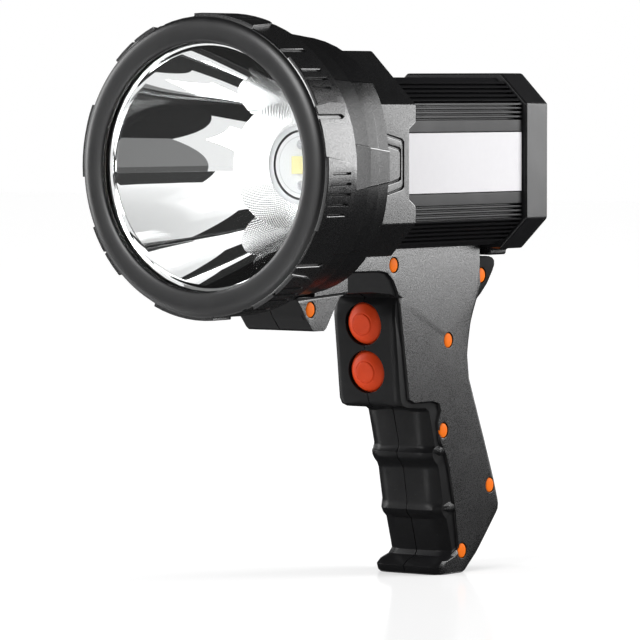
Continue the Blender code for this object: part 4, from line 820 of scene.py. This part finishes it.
fresh()
bpy.ops.mesh.primitive_plane_add(size=FLOOR_SIZE, location=(0.0, 0.0, 0.0))
floor = bpy.context.object
floor.name = "studio_floor"
floor_look, tree, shader = new_material("pale_floor")
for label, value in (("Base Color", FLOOR_GREY), ("Roughness", FLOOR_ROUGHNESS), ("Specular IOR Level", 0.0)):
    feed(tree, shader.inputs[label], value)
spot = tree.nodes.new("ShaderNodeTexCoord")
away = tree.nodes.new("ShaderNodeVectorMath")
away.operation = "LENGTH"
feed(tree, away.inputs[0], spot.outputs["Object"])
# Painted shade: the floor's glow fades towards the lamp's foot, darkening the floor there and what reflects it.
ramp = tree.nodes.new("ShaderNodeMapRange")
for label, value in (("Value", away.outputs["Value"]), ("From Min", LEAST_WITHIN), ("From Max", MOST_BEYOND),
                     ("To Min", 0.0), ("To Max", MOST_WHITE)):
    feed(tree, ramp.inputs[label], value)
path = tree.nodes.new("ShaderNodeLightPath")
least = maths(tree, "MULTIPLY", path.outputs["Is Camera Ray"], LEAST_WHITE_SEEN)
glow = tree.nodes.new("ShaderNodeEmission")
feed(tree, glow.inputs["Color"], WHITE)
white = maths(tree, "MULTIPLY", background_rays(tree), maths(tree, "MAXIMUM", ramp.outputs[0], least))
feed(tree, glow.inputs["Strength"], white)
both = tree.nodes.new("ShaderNodeAddShader")
feed(tree, both.inputs[0], shader.outputs[0])
feed(tree, both.inputs[1], glow.outputs[0])
gloss = tree.nodes.new("ShaderNodeBsdfGlossy")
gloss.inputs["Roughness"].default_value = GLOSS_ROUGHNESS
mixed = tree.nodes.new("ShaderNodeMixShader")
for socket, value in zip(mixed.inputs, (GLOSS_SHARE, both.outputs[0], gloss.outputs[0])):
    feed(tree, socket, value)
feed(tree, tree.nodes["Material Output"].inputs["Surface"], mixed.outputs[0])
floor.data.materials.append(floor_look)
print("floor", FLOOR_SIZE, "m wide")

# %% World
SOFT_LIGHT = 0.37

world = bpy.context.scene.world or bpy.data.worlds.new("studio_world")
bpy.context.scene.world = world
world.use_nodes = True
tree = world.node_tree
background = tree.nodes["Background"]
feed(tree, background.inputs["Color"], WHITE)
feed(tree, background.inputs["Strength"], spread(tree, background_rays(tree), SOFT_LIGHT, 1.0))
bpy.context.scene.view_settings.view_transform = "Standard"
print("world lights at", SOFT_LIGHT)

# %% [markdown]
# Black plastic has hardly any colour of its own: it shows its shape by what it reflects. So a
# photographer lights it with a soft panel that its side mirrors towards the camera, a front one
# and one on the far side, all aimed at the lamp's middle. The camera itself sees no panel.

# %% Soft panels
MIDDLE = Vector((0.0, -0.05, 0.17))


def panel_light(name, place, wide, tall, power):
    """A rectangular soft light aimed at the lamp's middle."""
    data = bpy.data.lights.new(name, "AREA")
    data.shape = "RECTANGLE"
    data.size = wide
    data.size_y = tall
    data.energy = power
    light = bpy.data.objects.new(name, data)
    light.location = place
    light.rotation_euler = (MIDDLE - Vector(place)).to_track_quat("-Z", "Y").to_euler()
    light.visible_camera = False
    bpy.context.scene.collection.objects.link(light)


panel_light("side_panel", (0.38, 0.46, 0.31), 0.36, 0.38, 3.6)
panel_light("front_panel", (-0.10, -1.55, 0.75), 0.7, 0.6, 19.0)
panel_light("far_side_panel", (-0.95, -0.45, 0.35), 0.4, 0.8, 7.5)

# %% [markdown]
# Black and grey cards hang where edges and the mirror bowl should stay dark. A card could be a
# plain plane, but then its back would darken other reflections, so each one is clear from behind.
# The cards are seen only in reflections and through glass, and they cast no shadow.

# %% A card and its look
FLOOR_CARD_HEIGHT = 0.0006


def card_look(name, brightness):
    """An even glow in front, and clear from behind."""
    look, tree, shader = new_material(name + "_look")
    tree.nodes.remove(shader)
    glow = tree.nodes.new("ShaderNodeEmission")
    feed(tree, glow.inputs["Color"], (brightness, brightness, brightness))
    clear = tree.nodes.new("ShaderNodeBsdfTransparent")
    facing = tree.nodes.new("ShaderNodeNewGeometry")
    one_sided = tree.nodes.new("ShaderNodeMixShader")
    sources = (facing.outputs["Backfacing"], glow.outputs[0], clear.outputs[0])
    for socket, value in zip(one_sided.inputs, sources):
        feed(tree, socket, value)
    feed(tree, tree.nodes["Material Output"].inputs["Surface"], one_sided.outputs[0])
    return look


def card(name, corners, brightness):
    """A flat card from its four corners, facing the lamp's middle."""
    fresh()
    bpy.ops.mesh.primitive_plane_add(size=1.0, location=(0.0, 0.0, 0.0))
    piece = bpy.context.object
    piece.name = name
    for vertex, k in zip(piece.data.vertices, (0, 1, 3, 2)):
        vertex.co = corners[k]
    piece.data.update()
    sheet = piece.data.polygons[0]
    if sheet.normal.dot(MIDDLE - sheet.center) < 0:
        piece.data.flip_normals()
    piece.data.materials.append(card_look(name, brightness))
    piece.visible_camera = piece.visible_diffuse = piece.visible_shadow = False


def level(name, across, along, height, brightness):
    """A card that lies flat, between two places across and two along the lamp."""
    corners = [(across[i], along[j], height) for i, j in ((0, 0), (1, 0), (1, 1), (0, 1))]
    card(name, corners, brightness)


print("card helpers:", card_look.__name__, card.__name__, level.__name__)

# %% [markdown]
# Most cards are placed as the lamp's mouth sees them, by azimuth and distance, because the mirror
# bowl repeats what stands around the mouth.

# %% Cards round the lamp
MOUTH = at(0.0, 0.0054)
CAMERA_SIDE = (25.0, 78.0)
FAR_SIDE = (-80.0, -33.0)
FAR_FLOOR = (-80.0, -30.0)
STUDIO_HALF = 3.0
CEILING = MOUTH.z + 1.2
CEILING_ALONG = (MOUTH.y - 1.38, 3.5)
BEHIND_ALONG = (-0.05, 3.0)
BACK_STATION = 1.6
BACK_RIGHT = 0.45
BACK_FROM = 0.33


def towards(azimuth, distance, height):
    """A place seen from the lamp's mouth: azimuth 0 is straight ahead, and + is its left side."""
    turn = math.radians(azimuth)
    return Vector((MOUTH.x + distance * math.sin(turn), MOUTH.y - distance * math.cos(turn), height))


def standing(name, azimuths, distance, heights, brightness):
    """An upright card between two azimuths."""
    left, right = azimuths
    low, high = heights
    card(name, [towards(left, distance, low), towards(right, distance, low),
                towards(right, distance, high), towards(left, distance, high)], brightness)


def lying(name, azimuths, distances, brightness):
    """A card on the floor between two azimuths."""
    left, right = azimuths
    near, far = distances
    card(name, [towards(left, near, FLOOR_CARD_HEIGHT), towards(right, near, FLOOR_CARD_HEIGHT),
                towards(right, far, FLOOR_CARD_HEIGHT), towards(left, far, FLOOR_CARD_HEIGHT)], brightness)


level("ceiling_card", (-STUDIO_HALF, STUDIO_HALF), CEILING_ALONG, CEILING, 0.025)
standing("camera_side_card", CAMERA_SIDE, 1.7, (0.0, 2.6), 0.022)
lying("camera_side_floor_card", CAMERA_SIDE, (0.36, 1.7), 0.022)
standing("far_side_card", FAR_SIDE, 1.6, (0.20, 1.4), 0.25)
standing("far_side_low_card", FAR_SIDE, 1.59, (0.0, 0.20), 0.12)
lying("far_side_floor_card", FAR_FLOOR, (0.46, 1.6), 0.05)
level("behind_floor_card", (-STUDIO_HALF, STUDIO_HALF), BEHIND_ALONG, FLOOR_CARD_HEIGHT, 0.015)
card("back_card", [(-STUDIO_HALF, BACK_STATION, BACK_FROM), (BACK_RIGHT, BACK_STATION, BACK_FROM),
                   (BACK_RIGHT, BACK_STATION, CEILING), (-STUDIO_HALF, BACK_STATION, CEILING)], 0.02)
